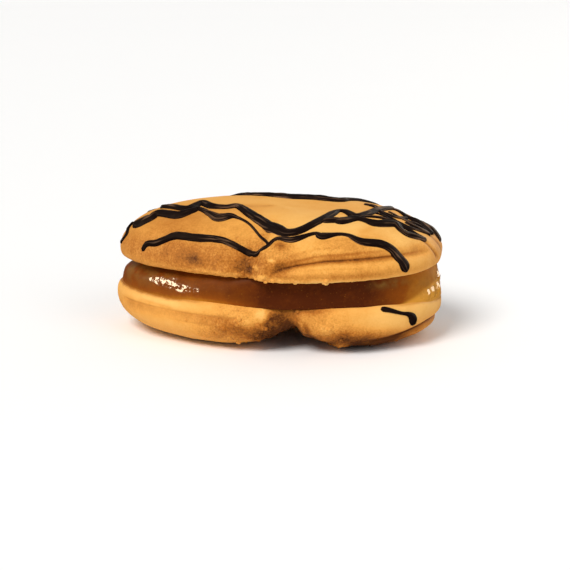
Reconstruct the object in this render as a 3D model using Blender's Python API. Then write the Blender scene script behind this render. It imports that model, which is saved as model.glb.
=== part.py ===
"""Jam crescent cookie: two piped shortbread horseshoes, flat sides together, jam between them.

Each horseshoe is one piped strand bent round until its two ends meet at the front, where a
seam valley and a small nick in the rim stay open. The upper one lies dome up and the lower
one dome down. Dark chocolate is drizzled to and fro over the upper biscuit, and a short
stray squiggle of it lies on the lower one.

The long side is along X, the seams face -Y, and the origin is the middle of the footprint
on the surface that the cookie rests on.
"""

import math
from types import SimpleNamespace

import bmesh
import bpy
from mathutils import Matrix, Vector

MM = 0.001


def groove(depth, widths, *course):
    """A groove along the strand: its widths above and below it, and (degrees, mm) along it."""
    return SimpleNamespace(depth=depth, widths=widths, course=sorted(course))


# Both biscuits. A pair holds the value left of the seam and the one right of it.
# Heights are measured from the flat side of the biscuit, with its dome up.
UPPER = SimpleNamespace(
    name="top_biscuit",
    face_height=15.4 * MM,
    face_slope=math.radians(-0.3),
    centre_x=-0.6 * MM,
    half_length=(31.6 * MM, 32.4 * MM),
    half_depth_front=(18.2 * MM, 22.2 * MM),
    half_depth_back=20.2 * MM,
    roundness=(2.04, 2.04),
    horn_swell=1.8 * MM,
    horn_step=0.14,
    rise=10.5 * MM,
    end_fall=0.16,
    fall_power=2.7,
    fullness_out=(3.0, 3.0),
    fullness_up=(2.0, 2.0),
    valley=0.02,
    slit=11.5 * MM,
    brow=1.6 * MM,
    undercut=0.04,
    seam_x=-3.5 * MM,
    seam_lean=0.25,
    seam_width=(4.5 * MM, 6.0 * MM),
    seam_step=0.65,
    seam_depth=0.30,
    seam_fade=(0.25, 0.65),
    nick=1.8 * MM,
    columns=76,
    rings=36,
    grooves=(
        groove(0.85 * MM, (1.5 * MM, 0.8 * MM), (-90, 2.0), (-76, 3.2), (-62, 4.0), (-12, 3.8)),
        groove(0.25 * MM, (1.3 * MM, 1.3 * MM), (-70, 6.6), (-25, 6.4)),
        groove(0.40 * MM, (1.4 * MM, 1.0 * MM), (8, 3.9), (172, 3.9)),
        groove(0.25 * MM, (1.3 * MM, 1.3 * MM), (20, 6.8), (160, 6.8)),
    ),
)
LOWER = SimpleNamespace(
    name="bottom_biscuit",
    face_height=9.8 * MM,
    face_slope=0.0,
    centre_x=-0.8 * MM,
    half_length=(32.1 * MM, 32.8 * MM),
    half_depth_front=(19.8 * MM, 20.6 * MM),
    half_depth_back=20.2 * MM,
    roundness=(1.8, 2.0),
    horn_swell=0.0,
    horn_step=0.14,
    rise=10.2 * MM,
    end_fall=0.14,
    fall_power=4.0,
    fullness_out=(3.5, 4.3),
    fullness_up=(2.55, 3.0),
    valley=0.05,
    slit=11.5 * MM,
    brow=2.2 * MM,
    undercut=0.065,
    seam_x=4.9 * MM,
    seam_lean=0.0,
    seam_width=(6.0 * MM, 7.0 * MM),
    seam_step=0.30,
    seam_depth=0.48,
    seam_fade=(-0.30, 0.70),
    nick=2.0 * MM,
    columns=64,
    rings=30,
    grooves=(
        groove(0.28 * MM, (1.3 * MM, 1.5 * MM), (-172, 2.6), (-150, 2.8), (-100, 2.9)),
        groove(0.65 * MM, (0.9 * MM, 0.9 * MM), (-46, 8.2), (-28, 6.7), (-12, 5.1), (14, 4.8)),
        groove(0.35 * MM, (1.2 * MM, 1.2 * MM), (22, 3.4), (178, 3.0)),
    ),
)
# The jam, as its outline on the lower biscuit and under the upper one.
JAM_FOOT = SimpleNamespace(
    centre_x=-0.8 * MM,
    half_length=(31.0 * MM, 33.4 * MM),
    half_depth_front=(18.4 * MM, 19.2 * MM),
    half_depth_back=18.8 * MM,
    roundness=(1.85, 1.95),
    seam_x=0.0,
    horn_swell=0.0,
    horn_step=1.6,
)
JAM_HEAD = SimpleNamespace(
    centre_x=-0.6 * MM,
    half_length=(23.0 * MM, 31.3 * MM),
    half_depth_front=(16.6 * MM, 19.6 * MM),
    half_depth_back=18.4 * MM,
    roundness=(2.0, 2.0),
    seam_x=0.0,
    horn_swell=0.0,
    horn_step=1.6,
)
JAM_COLUMNS = 48
JAM_RINGS = 12
JAM_FLAT = 0.25

# The jam's wall is straight at 1. Above 1 it stays out at the foot and rounds in at the top, and
# below 1 it draws in at once and then stands upright.
JAM_ROUNDING = (3.0, 0.6)
TOUCH_GAP = 0.3 * MM

# The chocolate, as strands that follow the biscuit's surface. Each point holds x, y, z and the
# width of the strand there, in mm, and a strand ends in a point that is narrower or blunt.
UPPER_STRANDS = {
    "front_strand": (
        (-26.5, -10.5, 18.0, 0.6), (-25.5, -10.5, 19.5, 0.9), (-23.5, -11.5, 20.0, 1.1),
        (-21.5, -12.0, 21.0, 1.3), (-19.5, -12.5, 22.0, 1.7), (-15.5, -14.0, 22.0, 1.7),
        (-12.0, -15.0, 22.0, 1.6), (-9.5, -16.0, 22.0, 1.4), (-4.0, -17.5, 20.0, 1.2),
        (-1.5, -18.5, 21.5, 0.9), (0.5, -17.0, 23.0, 0.9), (3.5, -17.5, 23.0, 1.5),
        (7.5, -15.5, 24.0, 0.8), (9.0, -16.0, 23.5, 1.8), (12.0, -15.0, 24.0, 0.9),
        (14.0, -14.5, 23.5, 1.0), (16.5, -15.0, 22.5, 1.7), (20.0, -14.0, 22.0, 1.7),
        (22.0, -13.5, 21.0, 1.7), (23.5, -13.5, 19.5, 2.0), (25.0, -13.5, 17.0, 2.2),
        (25.3, -13.5, 16.4, 1.2),
    ),
    "left_strand": (
        (-29.5, -2.0, 21.5, 1.8), (-27.5, -4.0, 22.0, 3.4), (-25.5, -4.0, 23.0, 3.2),
        (-24.0, -3.5, 24.0, 2.3), (-20.0, -6.5, 24.5, 2.4), (-17.5, -5.5, 25.0, 2.0),
        (-16.0, -4.5, 25.5, 1.4), (-13.5, -7.5, 25.5, 1.6), (-11.5, -9.5, 25.0, 2.5),
        (-9.5, -9.0, 25.5, 1.9), (-8.0, -9.5, 25.5, 0.9), (-5.0, -12.0, 24.5, 0.6),
        (-1.0, -18.0, 22.0, 0.6),
    ),
    "middle_strand": (
        (-24.5, 2.0, 24.0, 1.2), (-21.5, -1.0, 25.0, 1.9), (-18.5, -3.5, 25.5, 1.8),
        (-16.0, 0.5, 25.5, 2.1), (-13.5, -3.0, 25.5, 2.4), (-11.0, -4.0, 26.0, 1.5),
        (-8.5, -3.0, 26.0, 1.7), (-5.5, -8.0, 25.5, 2.4), (-2.5, -11.0, 24.5, 2.6),
        (0.5, -14.5, 24.5, 2.5), (2.5, -15.5, 24.0, 2.2), (5.0, -14.5, 24.5, 2.0),
        (8.0, -11.0, 25.5, 1.9), (10.0, -7.0, 26.0, 1.7), (11.5, -3.5, 26.0, 1.1),
        (13.0, -4.0, 26.0, 1.4), (15.0, -6.5, 25.5, 2.0), (17.0, -4.0, 25.5, 1.8),
        (19.0, 0.0, 25.5, 1.7), (22.0, 5.0, 24.5, 1.3),
    ),
    "branch_strand": (
        (8.5, -11.0, 25.5, 1.3), (11.0, -10.0, 25.5, 2.0), (12.5, -10.0, 25.5, 2.5),
        (15.0, -8.0, 25.5, 1.8), (16.5, -8.0, 25.0, 1.4), (19.0, -8.5, 24.5, 2.2),
        (22.5, -6.5, 24.0, 2.2), (24.0, -8.0, 23.5, 1.4), (25.5, -8.0, 22.5, 1.6),
        (29.0, -5.5, 21.0, 1.0),
    ),
    "right_strand_1": (
        (16.0, -6.0, 25.5, 1.4), (18.0, -5.5, 25.5, 1.3), (20.0, -5.0, 25.0, 1.7),
        (23.0, -5.5, 24.0, 1.6), (26.0, -6.5, 23.0, 1.3), (28.5, -5.5, 21.0, 1.0),
    ),
    "right_strand_2": (
        (16.0, 4.5, 25.5, 1.2), (18.5, 2.5, 25.5, 1.5), (20.0, -2.0, 25.0, 1.5),
        (22.5, -4.5, 24.5, 1.5), (26.0, -5.0, 23.0, 1.1), (29.5, -2.0, 21.0, 1.3),
    ),
    "right_strand_3": ((19.5, -1.0, 25.5, 1.5), (22.5, -2.5, 24.5, 1.4), (25.0, 0.0, 24.0, 1.6)),
    "right_strand_4": (
        (19.0, 2.0, 25.5, 1.3), (22.5, 4.0, 24.5, 1.5), (25.0, 0.5, 24.0, 1.8),
        (27.5, 0.5, 22.5, 2.6), (30.0, -0.5, 20.5, 1.5),
    ),
    "right_strand_5": ((24.5, -3.5, 24.0, 1.4), (27.0, -3.5, 22.5, 2.0), (29.5, -2.0, 21.0, 2.0)),
    "back_strand": (
        (-27.5, 6.5, 20.5, 1.8), (-20.5, 13.0, 21.0, 1.8), (-12.0, 14.0, 22.5, 1.8),
        (-5.0, 9.0, 25.5, 1.5), (1.0, 7.0, 25.5, 2.5), (10.0, 6.0, 25.5, 2.4),
        (13.0, 8.0, 25.0, 1.5), (19.5, 12.5, 22.5, 1.8), (26.0, 9.0, 21.0, 1.8),
        (29.5, 3.5, 21.0, 1.8), (31.0, 0.0, 19.0, 1.2),
    ),
}
LOWER_STRANDS = {
    "stray_strand": (
        (20.5, -15.0, 9.0, 0.9), (21.5, -14.5, 9.0, 1.1), (24.5, -13.0, 8.0, 0.7),
        (26.0, -12.0, 7.5, 1.0), (26.5, -11.0, 6.5, 2.1), (26.5, -10.5, 5.0, 1.4),
    ),
}
STRAND_STEP = 1.6 * MM
BEAD_RESOLUTION = 2
WELD = 0.001 * MM

# How high a strand stands out of the biscuit, as a share of its width.
BEAD_HEIGHT = 0.42

# A groove fades in and out over this many degrees at its ends.
GROOVE_FADE = 7.0

# The strand's right end stops at the seam in a steep step this wide.
STEP_WIDTH = 1.1 * MM

# Levels run from the middle of the domed side, 0, to the middle of the flat side, 1.
BROW = 0.80
EDGE = 0.90

# How much closer the columns stand at the seam than halfway round to the ends.
FRONT_CROWDING = 0.45

# From the point that the outlines are drawn round to the middle of the footprint.
TO_FOOTPRINT = (0.1 * MM, 0.85 * MM, 0.0)


def smooth(value):
    """0 up to 0, 1 from 1 on, and an even curve between them."""
    value = min(max(value, 0.0), 1.0)
    return value * value * (3.0 - 2.0 * value)


def mix(pair, share):
    """The left value of a pair at 0 and the right one at 1."""
    return pair[0] * (1.0 - share) + pair[1] * share


def outline(shape, angle):
    """A point of the biscuit's outline in plan, measured from its middle."""
    across = math.cos(angle)
    along = math.sin(angle)
    from_seam = across - shape.seam_x / shape.half_depth_back
    horn = smooth(from_seam / shape.horn_step + 0.5)
    length = shape.half_length[0] if across < 0 else shape.half_length[1]
    depth = shape.half_depth_back
    if along < 0:
        swell = shape.horn_swell * math.exp(-((from_seam / 0.35) ** 2)) * (1.0 - horn)
        depth = mix(shape.half_depth_front, horn) + swell
    power = mix(shape.roundness, smooth(across + 0.5))
    reach = (abs(across / length) ** power + abs(along / depth) ** power) ** (-1.0 / power)
    return reach * across, reach * along


def groove_depth(line, degrees, height):
    """How deep a groove goes at a place on the side of the biscuit."""
    first, last = line.course[0][0], line.course[-1][0]
    if not first < degrees < last:
        return 0.0
    for (start, low), (end, high) in zip(line.course, line.course[1:]):
        if degrees <= end:
            middle = (low + (high - low) * (degrees - start) / (end - start)) * MM
            break
    fade = smooth((degrees - first) / GROOVE_FADE) * smooth((last - degrees) / GROOVE_FADE)
    width = line.widths[0] if height > middle else line.widths[1]
    return line.depth * fade * math.exp(-(((height - middle) / width) ** 2))


def section(shape, angle, level):
    """Reach from the slit (0) to the outline (1), and share of the rise, at a level."""
    if level <= BROW:
        side = smooth(math.cos(angle) + 0.5)
        turn = level / BROW * math.pi / 2.0
        reach = math.sin(turn) ** (2.0 / mix(shape.fullness_out, side))
        lift = abs(math.cos(turn)) ** (2.0 / mix(shape.fullness_up, side))
        dip = shape.valley * (1.0 - smooth(reach / 0.6))
        return reach, lift - dip
    if level <= EDGE:
        turn = (level - BROW) / (EDGE - BROW) * math.pi / 2.0
        return 1.0 - shape.undercut * (1.0 - math.cos(turn)), -math.sin(turn)
    return (1.0 - shape.undercut) * (1.0 - level) / (1.0 - EDGE), -1.0


def seam(shape, x, y):
    """1 on the line where the strand's two ends meet at the front, 0 away from it.

    The left end dips gently towards the line. The right end stops short in a steep step.
    """
    front = max(shape.half_depth_front)
    offset = x - shape.seam_x - shape.seam_lean * (y + front)
    start, span = shape.seam_fade
    fade = smooth((-y / front - start) / span)
    if offset < 0:
        return fade * math.exp(-((-offset / shape.seam_width[0]) ** 1.5))
    step = shape.seam_step * math.exp(-((offset / STEP_WIDTH) ** 2))
    slope = (1.0 - shape.seam_step) * math.exp(-((offset / shape.seam_width[1]) ** 1.5))
    return fade * (step + slope)


def surface(shape, angle, level):
    """A point of the biscuit, dome up, measured from the middle of its flat side."""
    edge_x, edge_y = outline(shape, angle)
    reach, lift = section(shape, angle, level)
    x = shape.slit * math.cos(angle) * (1.0 - reach) * smooth(2.0 * reach) + edge_x * reach
    y = edge_y * reach
    length = shape.half_length[0] if x < 0 else shape.half_length[1]
    rise = shape.rise * (1.0 - shape.end_fall * abs(x / length) ** shape.fall_power)
    height = shape.brow + (rise - shape.brow) * lift if lift > 0.0 else shape.brow * (1.0 + lift)
    if level <= BROW:
        degrees = math.degrees(angle)
        dent = sum(groove_depth(line, degrees, height) for line in shape.grooves)
        steep = math.sin(level / BROW * math.pi / 2.0)
        x -= dent * steep * math.cos(angle)
        y -= dent * steep * math.sin(angle)
        height -= dent * (1.0 - steep)
    closed = seam(shape, x, y)
    height *= 1.0 - shape.seam_depth * closed
    y += closed * smooth(2.0 * reach - 1.0) * shape.nick
    return x, y, height


def face_height(shape, x):
    """Height of the flat side, which slopes a little from left to right."""
    return shape.face_height - x * math.tan(shape.face_slope)


def biscuit(shape, upwards, material, collection):
    """A sphere whose every point is carried onto the piped form."""
    shaper = bmesh.new()
    bmesh.ops.create_uvsphere(shaper, u_segments=shape.columns, v_segments=shape.rings, radius=1.0)
    for vertex in shaper.verts:
        level = math.acos(min(max(vertex.co.z, -1.0), 1.0)) / math.pi
        turn = math.atan2(vertex.co.y, vertex.co.x)
        angle = math.remainder(turn - FRONT_CROWDING * math.cos(turn), math.tau)
        x, y, height = surface(shape, angle, level)
        x += shape.centre_x
        plane = face_height(shape, x)
        z = plane + height if upwards else max(plane - height, 0.0)
        vertex.co = Vector((x, y, z))
    if not upwards:
        bmesh.ops.reverse_faces(shaper, faces=shaper.faces)
    return finish(shape.name, shaper, material, collection)


def jam(material, collection):
    """The layer between the flat sides, whose wall leans in from the lower one to the upper one."""
    shaper = bmesh.new()
    bmesh.ops.create_uvsphere(shaper, u_segments=JAM_COLUMNS, v_segments=JAM_RINGS, radius=1.0)
    for vertex in shaper.verts:
        level = math.acos(min(max(-vertex.co.z, -1.0), 1.0)) / math.pi
        angle = math.atan2(vertex.co.y, vertex.co.x)
        climb = min(max((level - JAM_FLAT) / (1.0 - 2.0 * JAM_FLAT), 0.0), 1.0)
        reach = min(level, 1.0 - level, JAM_FLAT) / JAM_FLAT
        lean = climb ** mix(JAM_ROUNDING, smooth(math.cos(angle) + 0.5))
        foot_x, foot_y = outline(JAM_FOOT, angle)
        head_x, head_y = outline(JAM_HEAD, angle)
        x = mix((JAM_FOOT.centre_x + foot_x * reach, JAM_HEAD.centre_x + head_x * reach), lean)
        y = mix((foot_y, head_y), lean) * reach
        floor = face_height(LOWER, x) + TOUCH_GAP
        ceiling = face_height(UPPER, x) - TOUCH_GAP
        vertex.co = Vector((x, y, mix((floor, ceiling), climb)))
    return finish("jam_filling", shaper, material, collection)


def between(before, start, end, after, share):
    """A point on the smooth line from start to end, bent by the points before and after them."""
    return 0.5 * (
        2.0 * start
        + (end - before) * share
        + (2.0 * before - 5.0 * start + 4.0 * end - after) * share**2
        + (3.0 * start - before - 3.0 * end + after) * share**3
    )


def route(course):
    """Points in steps along the smooth line through a strand's points, each with its width."""
    points = [Vector(point) * MM for point in course]
    points = [2.0 * points[0] - points[1], *points, 2.0 * points[-1] - points[-2]]
    for before, start, end, after in zip(points, points[1:], points[2:], points[3:]):
        steps = max(1, round((end - start).length / STRAND_STEP))
        for step in range(steps):
            yield between(before, start, end, after, step / steps)
    yield points[-2]


def strand(name, course, biscuit, collection):
    """A round bead of chocolate along the surface, sunk in it so that it stands out flatly."""
    curve = bpy.data.curves.new(name, "CURVE")
    curve.dimensions = "3D"
    curve.bevel_depth = 1.0
    curve.bevel_resolution = BEAD_RESOLUTION
    curve.use_fill_caps = True
    beads = list(route(course))
    line = curve.splines.new("POLY")
    line.points.add(len(beads) - 1)
    for point, bead in zip(line.points, beads):
        _, spot, outward, _ = biscuit.closest_point_on_mesh(bead.to_3d())
        height = BEAD_HEIGHT * bead.w
        point.radius = (bead.w**2 / 4.0 + height**2) / (2.0 * height)
        point.co = (*(spot + outward * (height - point.radius)), 1.0)
    guide = bpy.data.objects.new(name, curve)
    collection.objects.link(guide)
    graph = bpy.context.evaluated_depsgraph_get()
    mesh = bpy.data.meshes.new_from_object(guide.evaluated_get(graph))
    bpy.data.objects.remove(guide, do_unlink=True)
    welder = bmesh.new()
    welder.from_mesh(mesh)
    bmesh.ops.remove_doubles(welder, verts=welder.verts, dist=WELD)
    bmesh.ops.recalc_face_normals(welder, faces=welder.faces)
    welder.to_mesh(mesh)
    welder.free()
    made = bpy.data.objects.new(name, mesh)
    collection.objects.link(made)
    return made


def fuse(biscuit, strands):
    """Joins the strands to the biscuit that they lie on, as one solid."""
    holder = bpy.data.collections.new("strands")
    bpy.context.scene.collection.children.link(holder)
    for name, course in strands.items():
        strand(name, course, biscuit, holder)
    union = biscuit.modifiers.new("drizzle", "BOOLEAN")
    union.operation = "UNION"
    union.operand_type = "COLLECTION"
    union.collection = holder
    union.solver = "EXACT"
    graph = bpy.context.evaluated_depsgraph_get()
    fused = bpy.data.meshes.new_from_object(biscuit.evaluated_get(graph))
    biscuit.modifiers.clear()
    biscuit.data = fused
    for made in list(holder.objects):
        bpy.data.objects.remove(made, do_unlink=True)
    bpy.data.collections.remove(holder)


def finish(name, shaper, material, collection):
    """Turns the shaped points into a smooth object of the collection."""
    mesh = bpy.data.meshes.new(name)
    shaper.to_mesh(mesh)
    shaper.free()
    mesh.shade_smooth()
    mesh.materials.append(material)
    made = bpy.data.objects.new(name, mesh)
    collection.objects.link(made)
    return made


def principled(name, colour, roughness):
    """A material with one colour all over."""
    material = bpy.data.materials.new(name)
    material.use_nodes = True
    shader = material.node_tree.nodes["Principled BSDF"]
    shader.inputs["Base Color"].default_value = (*colour, 1.0)
    shader.inputs["Roughness"].default_value = roughness
    material.diffuse_color = (*colour, 1.0)
    return material


def main():
    for old in list(bpy.data.objects):
        bpy.data.objects.remove(old, do_unlink=True)
    cookie = bpy.data.collections.new("jam_crescent_cookie")
    bpy.context.scene.collection.children.link(cookie)
    crust = principled("biscuit", (0.78, 0.42, 0.13), 0.75)
    fuse(biscuit(UPPER, True, crust, cookie), UPPER_STRANDS)
    fuse(biscuit(LOWER, False, crust, cookie), LOWER_STRANDS)
    jam(principled("jam", (0.30, 0.09, 0.02), 0.2), cookie)
    for made in cookie.objects:
        made.data.transform(Matrix.Translation(TO_FOOTPRINT))


main()
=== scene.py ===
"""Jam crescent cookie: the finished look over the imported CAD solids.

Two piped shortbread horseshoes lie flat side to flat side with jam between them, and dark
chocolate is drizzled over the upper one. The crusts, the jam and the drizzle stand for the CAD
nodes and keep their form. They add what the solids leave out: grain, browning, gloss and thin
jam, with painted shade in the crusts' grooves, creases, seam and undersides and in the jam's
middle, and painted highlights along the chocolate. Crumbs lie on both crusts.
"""

import math
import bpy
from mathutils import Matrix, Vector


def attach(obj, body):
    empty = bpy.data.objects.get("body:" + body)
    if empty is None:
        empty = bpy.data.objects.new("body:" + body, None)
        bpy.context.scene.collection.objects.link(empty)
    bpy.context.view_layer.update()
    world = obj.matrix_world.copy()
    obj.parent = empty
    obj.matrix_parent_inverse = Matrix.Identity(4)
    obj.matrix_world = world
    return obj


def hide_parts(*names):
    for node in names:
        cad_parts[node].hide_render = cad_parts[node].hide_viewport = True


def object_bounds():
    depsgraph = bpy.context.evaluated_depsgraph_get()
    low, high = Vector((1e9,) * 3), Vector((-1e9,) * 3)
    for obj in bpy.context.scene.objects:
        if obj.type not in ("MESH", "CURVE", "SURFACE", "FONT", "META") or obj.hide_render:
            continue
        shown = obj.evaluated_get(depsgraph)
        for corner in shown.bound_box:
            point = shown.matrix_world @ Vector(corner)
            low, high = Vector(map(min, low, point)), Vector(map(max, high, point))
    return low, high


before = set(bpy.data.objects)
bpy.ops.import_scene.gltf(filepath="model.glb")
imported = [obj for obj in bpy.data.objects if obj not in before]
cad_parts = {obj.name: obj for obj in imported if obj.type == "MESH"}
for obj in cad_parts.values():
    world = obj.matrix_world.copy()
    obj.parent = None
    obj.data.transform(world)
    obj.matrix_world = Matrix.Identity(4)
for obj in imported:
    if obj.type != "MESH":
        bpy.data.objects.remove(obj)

from types import SimpleNamespace

import bpy
from mathutils import Matrix, Vector

bl_info = {
    "name": "Jam crescent cookie",
    "version": (1, 0, 0),
    "blender": (4, 5, 0),
    "location": "3D View > Sidebar > Cookie",
    "description": "Dresses the solids of a jam crescent cookie as baked, filled and drizzled",
    "category": "Object",
}

MM = 0.001
CAD_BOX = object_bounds()


def groove(depth, widths, *course):
    """A groove along the strand: its widths above and below it, and (degrees, mm) along it."""
    return SimpleNamespace(depth=depth, widths=widths, course=sorted(course))


def crease(depth, width, *course):
    """A fine line pressed into a crust, straight from point to point, each (degrees, mm)."""
    return SimpleNamespace(depth=depth, width=width, course=course)


# The forms are those of the CAD solids, on a finer mesh. Heights are measured from a biscuit's
# flat side, dome up, and a pair holds the value on the left and the one on the right.
#   face_height, face_slope: how high the flat side lies above the floor, and its slope
#   centre_x, half_length, half_depth, roundness: the outline in plan, an ellipse at 2
#   horn_swell, horn_step: how the left end swells at the seam, and how gently it ends there
#   rise, end_fall, fall_power: the dome's height, and how it falls towards both ends
#   fullness_out, fullness_up: the section of its side, round at 2 and squarer above
#   valley, slit: the dip in the middle of the dome, and half the length of its bottom
#   brow, undercut: how high the widest line lies, and how far the wall draws in below it
#   seam, nick: where the strand's two ends meet at the front, and how far the rim is cut there
UPPER = SimpleNamespace(
    name="top_biscuit",
    face_height=15.4 * MM,
    face_slope=math.radians(-0.3),
    centre_x=-0.6 * MM,
    half_length=(31.6 * MM, 32.4 * MM),
    half_depth_front=(18.2 * MM, 22.2 * MM),
    half_depth_back=20.2 * MM,
    roundness=(2.04, 2.04),
    horn_swell=1.8 * MM,
    horn_step=0.14,
    rise=10.5 * MM,
    end_fall=0.16,
    fall_power=2.7,
    fullness_out=(3.0, 3.0),
    fullness_up=(2.0, 2.0),
    valley=0.02,
    slit=11.5 * MM,
    brow=1.6 * MM,
    undercut=0.04,
    seam_x=-3.5 * MM,
    seam_lean=0.25,
    seam_width=(4.5 * MM, 6.0 * MM),
    seam_step=0.65,
    seam_depth=0.30,
    seam_fade=(0.25, 0.65),
    nick=1.8 * MM,
    grooves=(
        groove(0.85 * MM, (1.5 * MM, 0.8 * MM), (-90, 2.0), (-76, 3.2), (-62, 4.0), (-12, 3.8)),
        groove(0.25 * MM, (1.3 * MM, 1.3 * MM), (-70, 6.6), (-25, 6.4)),
        groove(0.40 * MM, (1.4 * MM, 1.0 * MM), (8, 3.9), (172, 3.9)),
        groove(0.25 * MM, (1.3 * MM, 1.3 * MM), (20, 6.8), (160, 6.8)),
    ),
)
LOWER = SimpleNamespace(
    name="bottom_biscuit",
    face_height=9.8 * MM,
    face_slope=0.0,
    centre_x=-0.8 * MM,
    half_length=(32.1 * MM, 32.8 * MM),
    half_depth_front=(19.8 * MM, 20.6 * MM),
    half_depth_back=20.2 * MM,
    roundness=(1.8, 2.0),
    horn_swell=0.0,
    horn_step=0.14,
    rise=10.2 * MM,
    end_fall=0.14,
    fall_power=4.0,
    fullness_out=(3.5, 4.3),
    fullness_up=(2.55, 3.0),
    valley=0.05,
    slit=11.5 * MM,
    brow=2.2 * MM,
    undercut=0.065,
    seam_x=4.9 * MM,
    seam_lean=0.0,
    seam_width=(6.0 * MM, 7.0 * MM),
    seam_step=0.30,
    seam_depth=0.48,
    seam_fade=(-0.30, 0.70),
    nick=2.0 * MM,
    grooves=(
        groove(0.28 * MM, (1.3 * MM, 1.5 * MM), (-172, 2.6), (-150, 2.8), (-100, 2.9)),
        groove(0.65 * MM, (0.9 * MM, 0.9 * MM), (-46, 8.2), (-28, 6.7), (-12, 5.1), (14, 4.8)),
        groove(0.35 * MM, (1.2 * MM, 1.2 * MM), (22, 3.4), (178, 3.0)),
    ),
)
# The jam, as its outline on the lower biscuit and under the upper one.
JAM_FOOT = SimpleNamespace(
    centre_x=-0.8 * MM,
    half_length=(31.0 * MM, 33.4 * MM),
    half_depth_front=(18.4 * MM, 19.2 * MM),
    half_depth_back=18.8 * MM,
    roundness=(1.85, 1.95),
    seam_x=0.0,
    horn_swell=0.0,
    horn_step=1.6,
)
JAM_HEAD = SimpleNamespace(
    centre_x=-0.6 * MM,
    half_length=(23.0 * MM, 31.3 * MM),
    half_depth_front=(16.6 * MM, 19.6 * MM),
    half_depth_back=18.4 * MM,
    roundness=(2.0, 2.0),
    seam_x=0.0,
    horn_swell=0.0,
    horn_step=1.6,
)

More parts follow.
